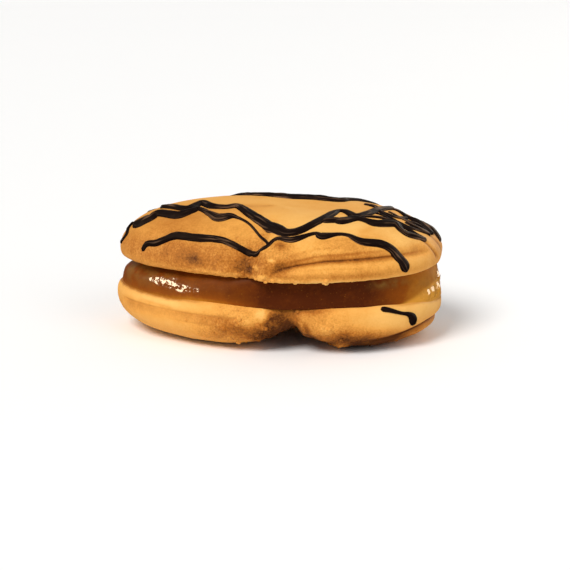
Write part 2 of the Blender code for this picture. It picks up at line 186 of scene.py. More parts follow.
# The chocolate, as strands that follow the biscuit's surface. Each point holds x, y, z and the
# width of the strand there, in mm.
UPPER_STRANDS = {
    "front_strand": (
        (-26.5, -10.5, 18.0, 0.8), (-25.5, -10.5, 19.5, 1.2), (-23.5, -11.5, 20.0, 1.4),
        (-21.5, -12.0, 21.0, 1.5), (-19.5, -12.5, 22.0, 1.7), (-15.5, -14.0, 22.0, 1.7),
        (-12.0, -15.0, 22.0, 1.6), (-9.5, -16.0, 22.0, 1.4), (-4.0, -17.5, 20.0, 1.2),
        (-1.5, -18.5, 21.5, 0.9), (0.5, -17.0, 23.0, 0.9), (3.5, -17.5, 23.0, 1.5),
        (7.5, -15.5, 24.0, 0.8), (9.0, -16.0, 23.5, 1.8), (12.0, -15.0, 24.0, 0.9),
        (14.0, -14.5, 23.5, 1.0), (16.5, -15.0, 22.5, 1.7), (20.0, -14.0, 22.0, 1.7),
        (22.0, -13.5, 21.0, 1.7), (23.5, -13.5, 19.5, 2.0), (25.0, -13.5, 17.0, 2.2),
        (25.3, -13.5, 16.4, 1.2),
    ),
    "left_strand": (
        (-29.5, -2.6, 21.5, 1.8), (-27.5, -3.8, 22.0, 3.2), (-25.5, -4.0, 23.0, 3.2),
        (-24.0, -3.5, 24.0, 2.3), (-20.0, -6.5, 24.5, 2.4), (-17.5, -5.5, 25.0, 2.0),
        (-16.0, -4.5, 25.5, 1.4), (-13.5, -7.5, 25.5, 1.6), (-11.5, -9.5, 25.0, 2.5),
        (-9.5, -9.0, 25.5, 1.9), (-8.0, -9.5, 25.5, 0.9), (-5.0, -12.0, 24.5, 0.6),
        (-1.0, -18.0, 22.0, 0.6),
    ),
    "middle_strand": (
        (-24.5, 2.0, 24.0, 1.2), (-21.5, -1.0, 25.0, 1.9), (-18.5, -3.5, 25.5, 1.8),
        (-16.0, 0.5, 25.5, 2.1), (-13.5, -3.0, 25.5, 2.4), (-11.0, -4.0, 26.0, 1.5),
        (-8.5, -3.0, 26.0, 1.7), (-5.5, -8.0, 25.5, 2.4), (-2.5, -11.0, 24.5, 2.6),
        (0.5, -14.5, 24.5, 2.5), (2.5, -15.5, 24.0, 2.2), (5.0, -14.5, 24.5, 2.0),
        (8.0, -11.0, 25.5, 1.9), (10.0, -7.0, 26.0, 1.7), (11.5, -3.5, 26.0, 1.1),
        (13.0, -4.0, 26.0, 1.4), (15.0, -6.5, 25.5, 2.0), (17.0, -4.0, 25.5, 1.8),
        (19.0, 0.0, 25.5, 1.7), (22.0, 5.0, 24.5, 1.3),
    ),
    "branch_strand": (
        (8.5, -11.0, 25.5, 1.3), (11.0, -10.0, 25.5, 2.0), (12.5, -10.0, 25.5, 2.5),
        (15.0, -8.0, 25.5, 1.8), (16.5, -8.0, 25.0, 1.4), (19.0, -8.5, 24.5, 2.2),
        (22.5, -6.5, 24.0, 2.2), (24.0, -8.0, 23.5, 1.4), (25.5, -8.0, 22.5, 1.6),
        (29.0, -5.5, 21.0, 1.0),
    ),
    "right_strand_1": (
        (16.0, -6.0, 25.5, 0.8), (18.0, -5.5, 25.5, 0.8), (20.0, -5.0, 25.0, 1.0),
        (23.0, -5.5, 24.0, 1.0), (26.0, -6.5, 23.0, 0.9), (28.5, -5.5, 21.0, 0.7),
    ),
    "right_strand_2": (
        (16.0, 4.5, 25.5, 0.8), (18.5, 2.5, 25.5, 1.0), (20.0, -2.0, 25.0, 0.9),
        (22.5, -4.5, 24.5, 0.9), (26.0, -5.0, 23.0, 0.8), (29.5, -2.0, 21.0, 0.9),
    ),
    "right_strand_3": ((19.5, -1.0, 25.5, 0.9), (22.5, -2.5, 24.5, 0.9), (25.0, 0.0, 24.0, 1.0)),
    "right_strand_4": (
        (19.0, 2.0, 25.5, 0.9), (22.5, 4.0, 24.5, 1.0), (25.0, 0.5, 24.0, 1.2),
        (27.5, 0.5, 22.5, 1.8), (30.0, -0.5, 20.5, 1.1),
    ),
    "right_strand_5": ((24.5, -3.5, 24.0, 0.9), (27.0, -3.5, 22.5, 1.3), (29.5, -2.0, 21.0, 1.3)),
    "right_strand_6": (
        (17.5, -2.0, 25.5, 0.6), (20.5, -3.5, 25.0, 0.6), (23.5, -7.0, 24.0, 0.6),
        (26.5, -7.5, 22.5, 0.6), (28.5, -6.5, 21.0, 0.5),
    ),
    "right_strand_7": (
        (21.0, 0.5, 25.0, 0.6), (24.0, -2.0, 24.0, 0.7), (27.0, -1.5, 22.5, 0.9),
        (29.8, -1.2, 20.8, 0.7),
    ),
    "thin_left_strand": (
        (-29.5, -0.5, 21.5, 1.0), (-30.5, -2.0, 20.5, 0.9), (-30.5, -4.0, 19.5, 0.9),
        (-31.5, -3.0, 17.5, 0.8),
    ),
    "back_strand": (
        (-27.5, 6.5, 20.5, 1.8), (-20.5, 13.0, 21.0, 1.8), (-12.0, 14.0, 22.5, 1.8),
        (-5.0, 9.0, 25.5, 1.5), (1.0, 7.0, 25.5, 2.5), (10.0, 6.0, 25.5, 2.4),
        (13.0, 8.0, 25.0, 1.5), (19.5, 12.5, 22.5, 1.8), (26.0, 9.0, 21.0, 1.8),
        (29.5, 3.5, 21.0, 1.8), (31.0, 0.0, 19.0, 1.2),
    ),
}
LOWER_STRANDS = {
    "stray_strand": (
        (20.5, -15.0, 9.0, 0.9), (21.5, -14.5, 9.0, 1.1), (24.5, -13.0, 8.0, 0.7),
        (26.0, -12.0, 7.5, 1.0), (26.5, -11.0, 6.5, 2.1), (26.5, -10.5, 5.0, 1.4),
    ),
}

# How far the jam reaches into both biscuits, and the share of its levels that lies flat.
JAM_BITE = 0.25 * MM
JAM_FLAT = 0.25

# The jam's wall is straight at 1. Above 1 it stays out at the foot and rounds in at the top, and
# below 1 it draws in at once and then stands upright.
JAM_ROUNDING = (3.0, 0.6)

# Jam that runs past the flat side sinks along the rim, no lower than JAM_DRIP, and tucks in by
# JAM_TUCK. The jam over it sinks too, less and less up to JAM_HANG above the flat side.
JAM_DRIP = 8.3 * MM
JAM_TUCK = 0.6 * MM
JAM_HANG = 2.5 * MM

# How thin the jam is, which lightens it, with painted light at its ends and painted shade in its
# middle under the upper biscuit: from the start on, more and more over the run towards each end,
# and at the left more so near its foot, which takes up JAM_FOOT_SHARE of its height.
JAM_FOOT_SHARE = 0.55
JAM_LEFT = SimpleNamespace(start=2.0 * MM, run=18.0 * MM, thin_and_lit=0.30, thin_and_lit_foot=0.55)
JAM_RIGHT = SimpleNamespace(start=17.0 * MM, run=13.0 * MM, thin_and_lit=0.80)

# The film at its foot on the right: how high it reaches at most and at least, the degrees from
# which it rises and falls and over how many, and how soft its edge is. Heights are shares.
JAM_FILM = SimpleNamespace(
    height=0.46, least=0.01, rise=(-42.0, 40.0), fall=(20.0, 30.0), soft=0.10
)

# How many mm one degree round a biscuit is worth when creases are measured.
DEGREE_WIDTH = 0.5

# What each point of a crust holds, as shares from 0 to 1.
BAKE_MARKS = ("browning_and_shade", "sandy", "crumbly", "glaze")

# What each point of the jam holds, and its wettest and cloudiest places: in degrees round the jam
# and share of its height, how far each spreads in both, and how strong it is.
JAM_MARKS = ("thin_and_lit", "foot", "wet", "film", "olive")
JAM_WET = (
    (-156, 0.50, 1.5, 0.08, 0.9),
    (-152, 0.47, 4.0, 0.09, 1.0),
    (-146, 0.45, 5.0, 0.10, 1.0),
    (-139, 0.40, 4.5, 0.10, 1.1),
    (-132, 0.37, 1.5, 0.10, 1.2),
    (-149, 0.64, 6.0, 0.08, 1.0),
    (-14, 0.27, 3.0, 0.07, 2.0),
    (-9, 0.29, 2.5, 0.07, 2.0),
    (-4, 0.31, 2.5, 0.08, 2.0),
    (-2, 0.52, 2.5, 0.18, 2.0),
)
JAM_OLIVE = (
    (180, 0.75, 26.0, 0.40, 1.0),
    (-31, 0.72, 8.0, 0.13, 0.8),
    (-12, 0.55, 7.0, 0.20, 0.4),
)

# Lumps under the jam's skin, each placed as above, and how many mm it stands out.
JAM_LUMPS = (
    (-14, 0.25, 2.2, 0.07, 0.40),
    (-9.5, 0.28, 2.0, 0.07, 0.40),
    (-4.5, 0.29, 2.0, 0.07, 0.60),
    (-2, 0.50, 2.0, 0.16, 0.40),
    (-24, 0.50, 3.0, 0.14, 0.20),
)

# How fine the crusts, the jam and the strands are.
CRUST_COLUMNS = 480
CRUST_RINGS = 180
JAM_COLUMNS = 760
JAM_RINGS = 96
STRAND_SIDES = 32
STRAND_STEP = 0.25 * MM

# How often a strand's fall onto the crust is evened out, so that it bridges a seam, and how often
# its lift back out of the crust is.
STRAND_EASE = 24
STRAND_LIFT_EASE = 4

# How strongly each kind of strand is ridged lengthwise and carries painted highlights along its
# ridges, and how strongly the kinds that aren't listed are.
RIDGED_AND_HIGHLIT = {
    "front_strand": 1.0,
    "left_strand": 0.9,
    "middle_strand": 0.9,
    "branch_strand": 0.9,
    "right_strand": 1.0,
    "back_strand": 1.0,
}
FAINTLY_RIDGED_AND_HIGHLIT = 0.3

# A strand's end is round over this share of its width, and its tip keeps this share of it.
ROUND_END = 0.6
TIP_WIDTH = 0.08

# Strands between these widths stand lower the wider they are, by these shares of their height.
SPREADING_WIDTHS = (1.5 * MM, 3.4 * MM)
SPREADING_HEIGHTS = (1.0, 0.65)

# How close the pattern of ridges and painted highlights runs along a strand and round it.
STREAKS_ALONG = 160.0
STREAKS_ROUND = 1.8

# The crumbs: the power by which they crowd on the crumbliest places, the power by which small
# ones prevail, the seed of their sizes, their height over their width and how rough they are.
CRUMB_CROWDING = 2.0
SMALL_CRUMBS = 3.0
CRUMB_SIZE_SEED = 3
CRUMB_FLATNESS = 0.7
CRUMB_ROUGHNESS = 0.14 * MM

# A groove fades in and out over this many degrees at its ends.
GROOVE_FADE = 7.0

# A crease's furthest reach to its sides in mm, and the share of its length that it fades over.
CREASE_REACH = 4.0
CREASE_FADE = 0.22

# The strand's right end stops at the seam in a steep step this wide. The slopes on both sides
# fall off with this power, and the left end swells beside the seam over this share of the depth.
STEP_WIDTH = 1.1 * MM
SEAM_POWER = 1.5
HORN_SPREAD = 0.35

# Levels run from the middle of the domed side, 0, to the middle of the flat side, 1. The wall
# is widest at BROW, and the flat side begins at EDGE.
BROW = 0.80
EDGE = 0.90

# How far out the valley in the middle of the dome goes, as a share of the reach.
VALLEY_REACH = 0.6

# The columns of points stand closer by this share at the front, and wider by it at the back.
FRONT_CROWDING = 0.45

# A mark counts for nothing where it is weaker than e to the power of minus this.
MARK_REACH = 9.0

# From the point that the outlines are drawn round to the middle of the footprint.
TO_FOOTPRINT = (0.1 * MM, 0.85 * MM, 0.0)

# A groove darkens the dough with painted shade over these shares of its widths above and
# below it, and half as much as it can where it is this deep. A crease darkens it with painted
# shade by so much for each mm of its depth.
GROOVE_SHADE_WIDTHS = (1.1, 0.45)
GROOVE_HALF_SHADE = 0.45 * MM
CREASE_SHADE = 1.2

# How sandy smooth dough is, and how much sandier and crumblier it is in the seam.
LEAST_SANDY = 0.12
SEAM_SANDY = 0.5
SEAM_CRUMBLY = 0.3

# Marks of the oven and of handling, and some painted shade and painted light, as noted at each.
# Each is where it is, in degrees round the biscuit and mm from its flat side, how far it spreads
# in both, and how much browner, sandier and crumblier it is.
# Glaze is smeared jam, and bumps and creases are the low relief on top. Glaze and a bump are
# placed and spread in the same way, and then hold how thick the smear or how high the bump is.
UPPER_BAKE = SimpleNamespace(
    browning_and_shade=0.20,
    # The groove and seam shares are painted shade that darkens the grooves and the seam's cleft.
    groove=0.54,
    seam=0.12,
    stains=(
        # These three make the left end darker and pinker: partly its own colour, partly painted
        # shade.
        (-165, 3.0, 26, 4.5, 0.28, 0.30, 0.0),
        (-165, 9.0, 20, 2.5, 0.12, 0.00, 0.0),
        (-140, 9.0, 30, 2.5, 0.16, 0.00, 0.0),
        (-137, 3.4, 22, 4.2, 0.36, 0.80, 0.1),
        (-133, 2.8, 5, 1.0, 0.26, 0.60, 0.0),
        (-114, 3.2, 14, 3.6, 0.25, 0.90, 0.4),
        (-104, 2.4, 7, 3.0, 0.36, 0.90, 0.5),
        (-90, 2.6, 9, 2.6, 0.24, 1.00, 0.5),
        (-90, 5.0, 9, 2.5, 0.10, 1.00, 0.1),
        (-84, 6.6, 4, 0.8, 0.42, 0.80, 0.0),
        (-55, 5.0, 32, 3.5, 0.06, 0.65, 0.0),
        # These two make the top and upper side on the right lighter: painted light.
        (-55, 9.2, 24, 1.2, -0.26, 0.00, 0.0),
        (-28, 6.0, 15, 1.8, -0.30, 0.00, 0.0),
        (-62, 5.9, 10, 0.8, -0.18, 0.20, 0.0),
        (-5, 4.0, 14, 4.0, 0.10, 0.30, 0.0),
        (-97, 2.7, 1.5, 0.5, -0.40, 0.50, 0.2),
        (-89, 4.3, 1.8, 0.3, -0.50, 0.30, 0.0),
        (-93, 1.3, 2.5, 0.5, -0.35, 0.60, 0.3),
        (-105, 0.7, 32, 0.5, -0.25, 0.90, 0.9),
        # Painted shade: a darker band under the groove, along the lower edge of the front.
        (-58, 1.2, 34, 0.9, 0.34, 0.40, 0.0),
        (-60, 0.1, 28, 0.4, -0.25, 0.90, 0.5),
        (90, 3.0, 70, 4.0, 0.18, 0.60, 0.1),
    ),
    glaze=(),
    bumps=(
        (-142, 0.2, 1.6, 0.5, 0.45),
        (-127, 0.5, 1.8, 0.4, 0.30),
        (-116, 0.9, 4.0, 0.9, 0.60),
        (-106, 0.5, 2.0, 0.4, 0.30),
        (-97, 0.6, 2.4, 0.6, 0.35),
        (-97, 2.6, 2.5, 0.8, 0.30),
        (-93, 1.4, 2.2, 0.7, 0.30),
        (-92, 3.2, 3.5, 1.0, 0.30),
        (-87, 5.2, 3.0, 1.0, 0.20),
        (-72, 0.4, 2.0, 0.4, 0.25),
        (-62, 0.4, 1.5, 0.3, 0.25),
        (4, 3.4, 5.0, 1.6, 0.40),
    ),
    creases=(
        crease(0.26, 0.22, (-90, 2.0), (-76, 3.3), (-62, 4.0), (-40, 4.1), (-12, 3.9)),
        crease(0.12, 0.25, (-86, 3.3), (-66, 5.0), (-45, 5.3), (-25, 5.2)),
        crease(0.10, 0.25, (-85, 4.6), (-68, 6.2), (-50, 6.5)),
        crease(0.07, 0.22, (-80, 2.4), (-60, 2.8), (-40, 2.5)),
        crease(0.08, 0.25, (-66, 7.4), (-50, 7.6), (-35, 7.2)),
        crease(0.12, 0.35, (-44, 8.2), (-30, 8.9)),
        crease(0.40, 0.40, (-14, 6.8), (-11, 3.8), (-8, 1.2)),
        crease(0.25, 0.50, (-6, 7.4), (-4, 5.0), (-1, 1.5)),
        crease(0.60, 0.90, (-4, 7.0), (4, 6.0), (14, 6.4)),
        crease(0.16, 0.70, (-101, 2.8), (-101, 1.6), (-100, 0.0)),
    ),
)
LOWER_BAKE = SimpleNamespace(
    browning_and_shade=0.12,
    # The groove and seam shares are painted shade that darkens the grooves and the seam's cleft.
    groove=0.60,
    seam=0.40,
    stains=(
        (-150, 0.1, 34, 0.9, 0.08, 0.00, 0.0),
        (-168, 3.6, 16, 2.0, 0.14, 0.10, 0.0),
        (-146, 1.0, 16, 0.7, -0.12, 0.00, 0.0),
        (-112, 4.9, 10, 1.8, 0.36, 1.00, 0.5),
        (-122, 6.6, 17, 1.8, 0.24, 0.90, 0.4),
        (-107, 1.0, 13, 1.3, 0.20, 0.80, 0.3),
        (-93.5, 1.6, 3.5, 1.2, -0.55, 0.60, 0.3),
        (-100, 6.0, 10, 2.6, 0.46, 1.00, 0.6),
        (-116, 3.2, 22, 1.4, 0.10, 0.60, 0.3),
        (-106, 3.1, 5, 0.9, -0.25, 0.80, 0.8),
        (-92, 4.4, 3, 0.6, -0.45, 1.00, 0.8),
        # These two are painted shade in the seam's cleft.
        (-86, 3.6, 7, 3.0, 0.90, 1.00, 0.3),
        (-82, 6.5, 12, 2.5, 0.90, 1.00, 0.3),
        (-60, 3.0, 16, 3.0, 0.14, 0.50, 0.1),
        # Painted shade on the rim just right of the seam.
        (-69, 0.2, 11, 0.9, 0.40, 0.50, 0.0),
        (-60, 4.1, 5, 1.2, -0.20, 0.60, 0.4),
        (-48, 5.7, 14, 1.7, 0.42, 0.90, 0.3),
        # The dark underside on the right: partly browning, partly painted shade.
        (-40, 8.4, 26, 2.2, 0.95, 0.50, 0.2),
        (-50, 8.6, 4, 1.0, -0.70, 0.50, 0.8),
        (-30, 2.6, 10, 1.5, -0.18, 0.10, 0.0),
        (-12, 1.8, 9, 1.2, -0.18, 0.10, 0.0),
        (90, 5.0, 70, 3.0, 0.25, 0.70, 0.2),
    ),
    glaze=(
        (-20, 0.2, 11, 0.5, 0.9),
        (-6, 0.6, 9, 0.9, 1.0),
        (4, 0.9, 8, 1.1, 1.0),
        (-152, -0.1, 26, 0.65, 0.75),
        (180, -0.2, 14, 0.5, 0.8),
    ),
    bumps=(
        (-128, 3.4, 4.0, 0.9, 0.30),
        (-119, 4.2, 4.0, 0.8, 0.30),
        (-112, 6.4, 3.0, 0.8, 0.30),
        (-106, 3.1, 5.0, 1.0, 0.45),
        (-100, 5.6, 3.0, 0.8, 0.30),
        (-92, 4.4, 3.0, 0.7, 0.30),
        (-66, 5.6, 3.0, 0.8, 0.25),
        (-60, 4.1, 5.0, 1.2, 0.50),
        (-50, 8.6, 3.5, 0.9, 0.70),
        (-44, 5.2, 6.0, 0.9, 0.25),
        (-34, 4.6, 4.0, 0.8, 0.20),
        (-150, 0.8, 20.0, 0.8, 0.20),
    ),
    creases=(
        crease(0.28, 0.22, (-46, 8.2), (-28, 6.7), (-12, 5.1), (0, 4.9), (12, 4.8)),
        crease(0.06, 0.25, (-150, 4.2), (-120, 4.4), (-105, 4.9)),
        crease(0.10, 0.30, (-160, 1.6), (-140, 2.0)),
        crease(0.20, 0.60, (-72, 2.4), (-68, 5.4), (-62, 7.6)),
    ),
)

# Every noise on the surfaces: its waves to the metre, detail and roughness. The strands' ridges
# and painted highlight lines are waves of the streaks' own pattern instead.
NOISES = {
    "dough lumps": (130.0, 1.0, 0.5),
    "dough grain": (620.0, 2.0, 0.6),
    "rim crumbs": (520.0, 2.0, 0.6),
    "crumb sides": (900.0, 2.0, 0.6),
    "crust clouds": (95.0, 3.0, 0.5),
    "crust mottle": (480.0, 3.0, 0.6),
    "crust grit": (2600.0, 2.0, 0.6),
    "crust pores": (3000.0, 1.0, 0.5),
    "crust sand": (3200.0, 2.0, 0.6),
    "crust pits": (1100.0, 2.0, 0.6),
    "smear edge": (700.0, 2.0, 0.5),
    "jam waves": (160.0, 1.0, 0.5),
    "jam crinkle": (1500.0, 2.0, 0.6),
    "jam clouds": (260.0, 3.0, 0.6),
    "jam pulp": (1400.0, 3.0, 0.7),
    "jam streaks": (420.0, 2.0, 0.5),
    "jam flecks": (2400.0, 2.0, 0.7),
    "jam breaks": (1300.0, 2.0, 0.6),
    "strand ridges": (1.0, 2.0, 0.55),
    "strand lines": (2.2, 1.0, 0.5),
    "chocolate clouds": (200.0, 1.0, 0.5),
    "chocolate bloom": (500.0, 2.0, 0.5),
}
WHOLE = (0.0, 1.0)

# Where the noise of the rim crumbs rises out of the crust, and how much of the jam's crinkle is
# left where its skin is dry.
RIM_CRUMBS_SPAN = (0.50, 0.75)
CRINKLE_SHARE = (0.08, 1.0)

# The finishes. A span is where in a pattern, or between which sandinesses, something sets in, and
# the other pairs hold the least and the most of it. Tones are the places of the colours.
CRUST = SimpleNamespace(
    tones=(0.0, 0.30, 0.65, 1.0),
    clouds=0.36,
    sandy_span=(0.1, 1.0),
    mottle=(0.16, 0.50),
    grit=(0.12, 0.55),
    pores_span=(0.60, 0.74),
    pores_sandy_span=(0.25, 0.9),
    pores=(0.0, 0.28),
    smear_edge=0.4,
    smear_span=(0.22, 0.62),
    smear_sides=(-18.0 * MM, 18.0 * MM),
    smear_roughness=0.18,
    bump=(0.22, 0.75),
    bump_height=0.10 * MM,
    gloss=0.09,
)
JAM = SimpleNamespace(
    tones=(0.0, 0.50, 0.80, 1.0),
    clouds=0.34,
    pulp=0.22,
    foot=0.12,
    olive_span=(0.40, 0.60),
    flecks_span=(0.64, 0.74),
    flecks=(0.0, 0.35),
    breaks_span=(0.40, 0.52),
    breaks_fill=0.45,
    wet_span=(0.55, 0.85),
    roughness=(0.34, 0.10),
    gloss=(0.045, 0.90),
    gloss_tint=(1.0, 0.88, 0.72, 1.0),
)
CHOCOLATE = SimpleNamespace(
    line_stretch=(0.3, 1.0, 1.0),
    ridges=0.45,
    lines=0.55,
    clouds_span=(0.38, 0.60),
    # Where the lines turn to the light colour, a painted highlight.
    painted_highlight_span=(0.53, 0.61),
    bloom_span=(0.35, 0.70),
    roughness=(0.42, 0.58),
    bump=0.5,
    bump_height=0.10 * MM,
    gloss=0.03,
    gloss_tint=(1.0, 0.68, 0.45, 1.0),
)


def smooth(value):
    """0 up to 0, 1 from 1 on, and an even curve between them."""
    value = min(max(value, 0.0), 1.0)
    return value * value * (3.0 - 2.0 * value)


def mix(pair, share):
    """The left value of a pair at 0 and the right one at 1."""
    return pair[0] * (1.0 - share) + pair[1] * share


def rightness(angle):
    """0 on the left of the cookie, 1 on its right, and an even curve across its middle."""
    return smooth(math.cos(angle) + 0.5)


def outline(shape, angle):
    """A point of the biscuit's outline in plan, measured from its middle."""
    across = math.cos(angle)
    along = math.sin(angle)
    from_seam = across - shape.seam_x / shape.half_depth_back
    horn = smooth(from_seam / shape.horn_step + 0.5)
    length = shape.half_length[0] if across < 0 else shape.half_length[1]
    depth = shape.half_depth_back
    if along < 0:
        swell = shape.horn_swell * math.exp(-((from_seam / HORN_SPREAD) ** 2)) * (1.0 - horn)
        depth = mix(shape.half_depth_front, horn) + swell
    power = mix(shape.roundness, rightness(angle))
    reach = (abs(across / length) ** power + abs(along / depth) ** power) ** (-1.0 / power)
    return reach * across, reach * along


def groove_depth(line, degrees, height, scaled=(1.0, 1.0)):
    """How deep a groove goes at a place, with its widths above and below it scaled."""
    first, last = line.course[0][0], line.course[-1][0]
    if not first < degrees < last:
        return 0.0
    for (start, low), (end, high) in zip(line.course, line.course[1:]):
        if degrees <= end:
            middle = (low + (high - low) * (degrees - start) / (end - start)) * MM
            break
    fade = smooth((degrees - first) / GROOVE_FADE) * smooth((last - degrees) / GROOVE_FADE)
    side = 0 if height > middle else 1
    width = line.widths[side] * scaled[side]
    return line.depth * fade * math.exp(-(((height - middle) / width) ** 2))


def crease_depth(line, degrees, height):
    """How deep a crease goes at a place. It fades out towards both ends."""
    nearest, run_out = CREASE_REACH, 0.0
    pieces = len(line.course) - 1
    for index in range(pieces):
        (start, low), (end, high) = line.course[index : index + 2]
        across = turned_by(degrees, start)
        if abs(across) > abs(end - start) + CREASE_REACH / DEGREE_WIDTH:
            continue
        across *= DEGREE_WIDTH
        up = height / MM - low
        run = (end - start) * DEGREE_WIDTH
        climb = high - low
        share = min(max((across * run + up * climb) / (run * run + climb * climb), 0.0), 1.0)
        away = math.hypot(across - run * share, up - climb * share)
        if away < nearest:
            nearest = away
            run_out = min(index + share, pieces - index - share) / pieces
    fade = smooth(run_out / CREASE_FADE)
    return line.depth * MM * fade * math.exp(-((nearest / line.width) ** 2)) if fade else 0.0


def turned_by(degrees, start):
    """The shorter way round from a start, in degrees, below 0 where it goes back."""
    return (degrees - start + 180.0) % 360.0 - 180.0


def nearness(degrees, height, mark):
    """1 in the middle of a mark on a side, and 0 well away from it."""
    middle, level, spread_round, spread_up = mark[:4]
    across = turned_by(degrees, middle) / spread_round
    up = (height / MM - level) / spread_up
    away = across * across + up * up
    return math.exp(-away) if away < MARK_REACH else 0.0


def strength(marks, degrees, height):
    """What marks of one strength each add up to at a place."""
    return sum(mark[4] * nearness(degrees, height, mark) for mark in marks)


def low_relief(bake, degrees, height):
    """How far the bumps stand out at a place, less the depth of the creases."""
    bumps = strength(bake.bumps, degrees, height) * MM
    return bumps - sum(crease_depth(line, degrees, height) for line in bake.creases)


def section(shape, angle, level):
    """Reach from the slit (0) to the outline (1), and share of the rise, at a level."""
    if level <= BROW:
        side = rightness(angle)
        turn = level / BROW * math.pi / 2.0
        reach = math.sin(turn) ** (2.0 / mix(shape.fullness_out, side))
        lift = abs(math.cos(turn)) ** (2.0 / mix(shape.fullness_up, side))
        dip = shape.valley * (1.0 - smooth(reach / VALLEY_REACH))
        return reach, lift - dip
    if level <= EDGE:
        turn = (level - BROW) / (EDGE - BROW) * math.pi / 2.0
        return 1.0 - shape.undercut * (1.0 - math.cos(turn)), -math.sin(turn)
    return (1.0 - shape.undercut) * (1.0 - level) / (1.0 - EDGE), -1.0


def seam(shape, x, y):
    """1 on the line where the strand's two ends meet at the front, 0 away from it.

    The left end dips gently towards the line. The right end stops short in a steep step.
    """
    front = max(shape.half_depth_front)
    offset = x - shape.seam_x - shape.seam_lean * (y + front)
    start, span = shape.seam_fade
    fade = smooth((-y / front - start) / span)
    if offset < 0:
        return fade * math.exp(-((-offset / shape.seam_width[0]) ** SEAM_POWER))
    step = shape.seam_step * math.exp(-((offset / STEP_WIDTH) ** 2))
    slope = math.exp(-((offset / shape.seam_width[1]) ** SEAM_POWER))
    return fade * (step + (1.0 - shape.seam_step) * slope)


def raised(place, angle, level, by):
    """A point of the dome moved straight out of it, or into it by less than 0."""
    x, y, height = place
    steep = math.sin(min(level / BROW, 1.0) * math.pi / 2.0)
    x += by * steep * math.cos(angle)
    y += by * steep * math.sin(angle)
    return x, y, height + by * (1.0 - steep)


def surface(shape, angle, level):
    """A point of the biscuit, dome up, measured from the middle of its flat side."""
    edge_x, edge_y = outline(shape, angle)
    reach, lift = section(shape, angle, level)
    x = shape.slit * math.cos(angle) * (1.0 - reach) * smooth(2.0 * reach) + edge_x * reach
    y = edge_y * reach
    length = shape.half_length[0] if x < 0 else shape.half_length[1]
    rise = shape.rise * (1.0 - shape.end_fall * abs(x / length) ** shape.fall_power)
    height = shape.brow + (rise - shape.brow) * lift if lift > 0.0 else shape.brow * (1.0 + lift)
    if level < BROW:
        # Grooves end above the widest ring.
        degrees = math.degrees(angle)
        dent = sum(groove_depth(line, degrees, height) for line in shape.grooves)
        x, y, height = raised((x, y, height), angle, level, -dent)
    closed = seam(shape, x, y)
    height *= 1.0 - shape.seam_depth * closed
    y += closed * smooth(2.0 * reach - 1.0) * shape.nick
    return x, y, height


def face_height(shape, x):
    """Height of the flat side, which slopes a little from left to right."""
    return shape.face_height - x * math.tan(shape.face_slope)


def bake_marks(shape, bake, angle, x, y, height):
    """Browning with painted shade, sandiness, crumbliness and glaze, each from 0 to 1, at a point
    of a biscuit.
    """
    degrees = math.degrees(angle)
    closed = seam(shape, x, y)
    # The grooves, the creases and the seam's cleft darken the browning as painted shade.
    dent = 0.0
    for line in shape.grooves:
        dent += groove_depth(line, degrees, height, GROOVE_SHADE_WIDTHS)
    browning_and_shade = bake.browning_and_shade + bake.groove * dent / (dent + GROOVE_HALF_SHADE) + bake.seam * closed
    creases = sum(crease_depth(line, degrees, height) for line in bake.creases)
    browning_and_shade += CREASE_SHADE * creases / MM
    sandy = LEAST_SANDY + SEAM_SANDY * closed
    crumbly = SEAM_CRUMBLY * closed
    for mark in bake.stains:
        near = nearness(degrees, height, mark)
        browner, sandier, crumblier = mark[4:]
        browning_and_shade += browner * near
        sandy += sandier * near
        crumbly += crumblier * near
    glaze = strength(bake.glaze, degrees, height)
    return [min(max(share, 0.0), 1.0) for share in (browning_and_shade, sandy, crumbly, glaze)]


def biscuit_mesh(shape, bake, upwards):
    """The piped form of a biscuit, with its low relief and what BAKE_MARKS lists."""

    def place_at(level, turn):
        angle = math.remainder(turn - FRONT_CROWDING * math.cos(turn), math.tau)
        x, y, height = surface(shape, angle, level)
        marks = bake_marks(shape, bake, angle, x, y, height)
        if level < EDGE:
            relief = low_relief(bake, math.degrees(angle), height)
            relief *= smooth((EDGE - level) / (EDGE - BROW))
            x, y, height = raised((x, y, height), angle, level, relief)
        x += shape.centre_x
        plane = face_height(shape, x)
        return (x, y, plane + height if upwards else max(plane - height, 0.0)), marks

    return shell(shape.name, CRUST_COLUMNS, CRUST_RINGS, BAKE_MARKS, upwards, place_at)


def shell(name, columns, rings, marks, from_top, place_at):
    """A closed, smooth mesh of rings and columns, built in the same order each time.

    Its levels run from 0 at one pole to 1 at the other, and from_top says that 0 is the upper
    one. place_at gives the point at a level and a turn, and what the marks are there.
    """
    spots = [(0.0, 0.0)]
    for ring in range(1, rings):
        turns = [math.remainder(math.tau * column / columns, math.tau) for column in range(columns)]
        spots += [(ring / rings, turn) for turn in turns]
    spots.append((1.0, 0.0))
    last = len(spots) - 1
    faces = []
    for column in range(columns):
        after = (column + 1) % columns
        faces.append((0, 1 + column, 1 + after))
        for start in range(1, last - columns, columns):
            below = start + columns
            faces.append((start + column, below + column, below + after, start + after))
        faces.append((last, last - columns + after, last - columns + column))
    if not from_top:
        faces = [face[::-1] for face in faces]
    places, held = [], []
    for level, turn in spots:
        place, values = place_at(level, turn)
        places.append(Vector(place) + Vector(TO_FOOTPRINT))
        held.append(values)
    mesh = bpy.data.meshes.new(name)
    mesh.from_pydata(places, [], faces)
    for label, values in zip(marks, zip(*held)):
        mesh.attributes.new(label, "FLOAT", "POINT").data.foreach_set("value", values)
    mesh.shade_smooth()
    return mesh


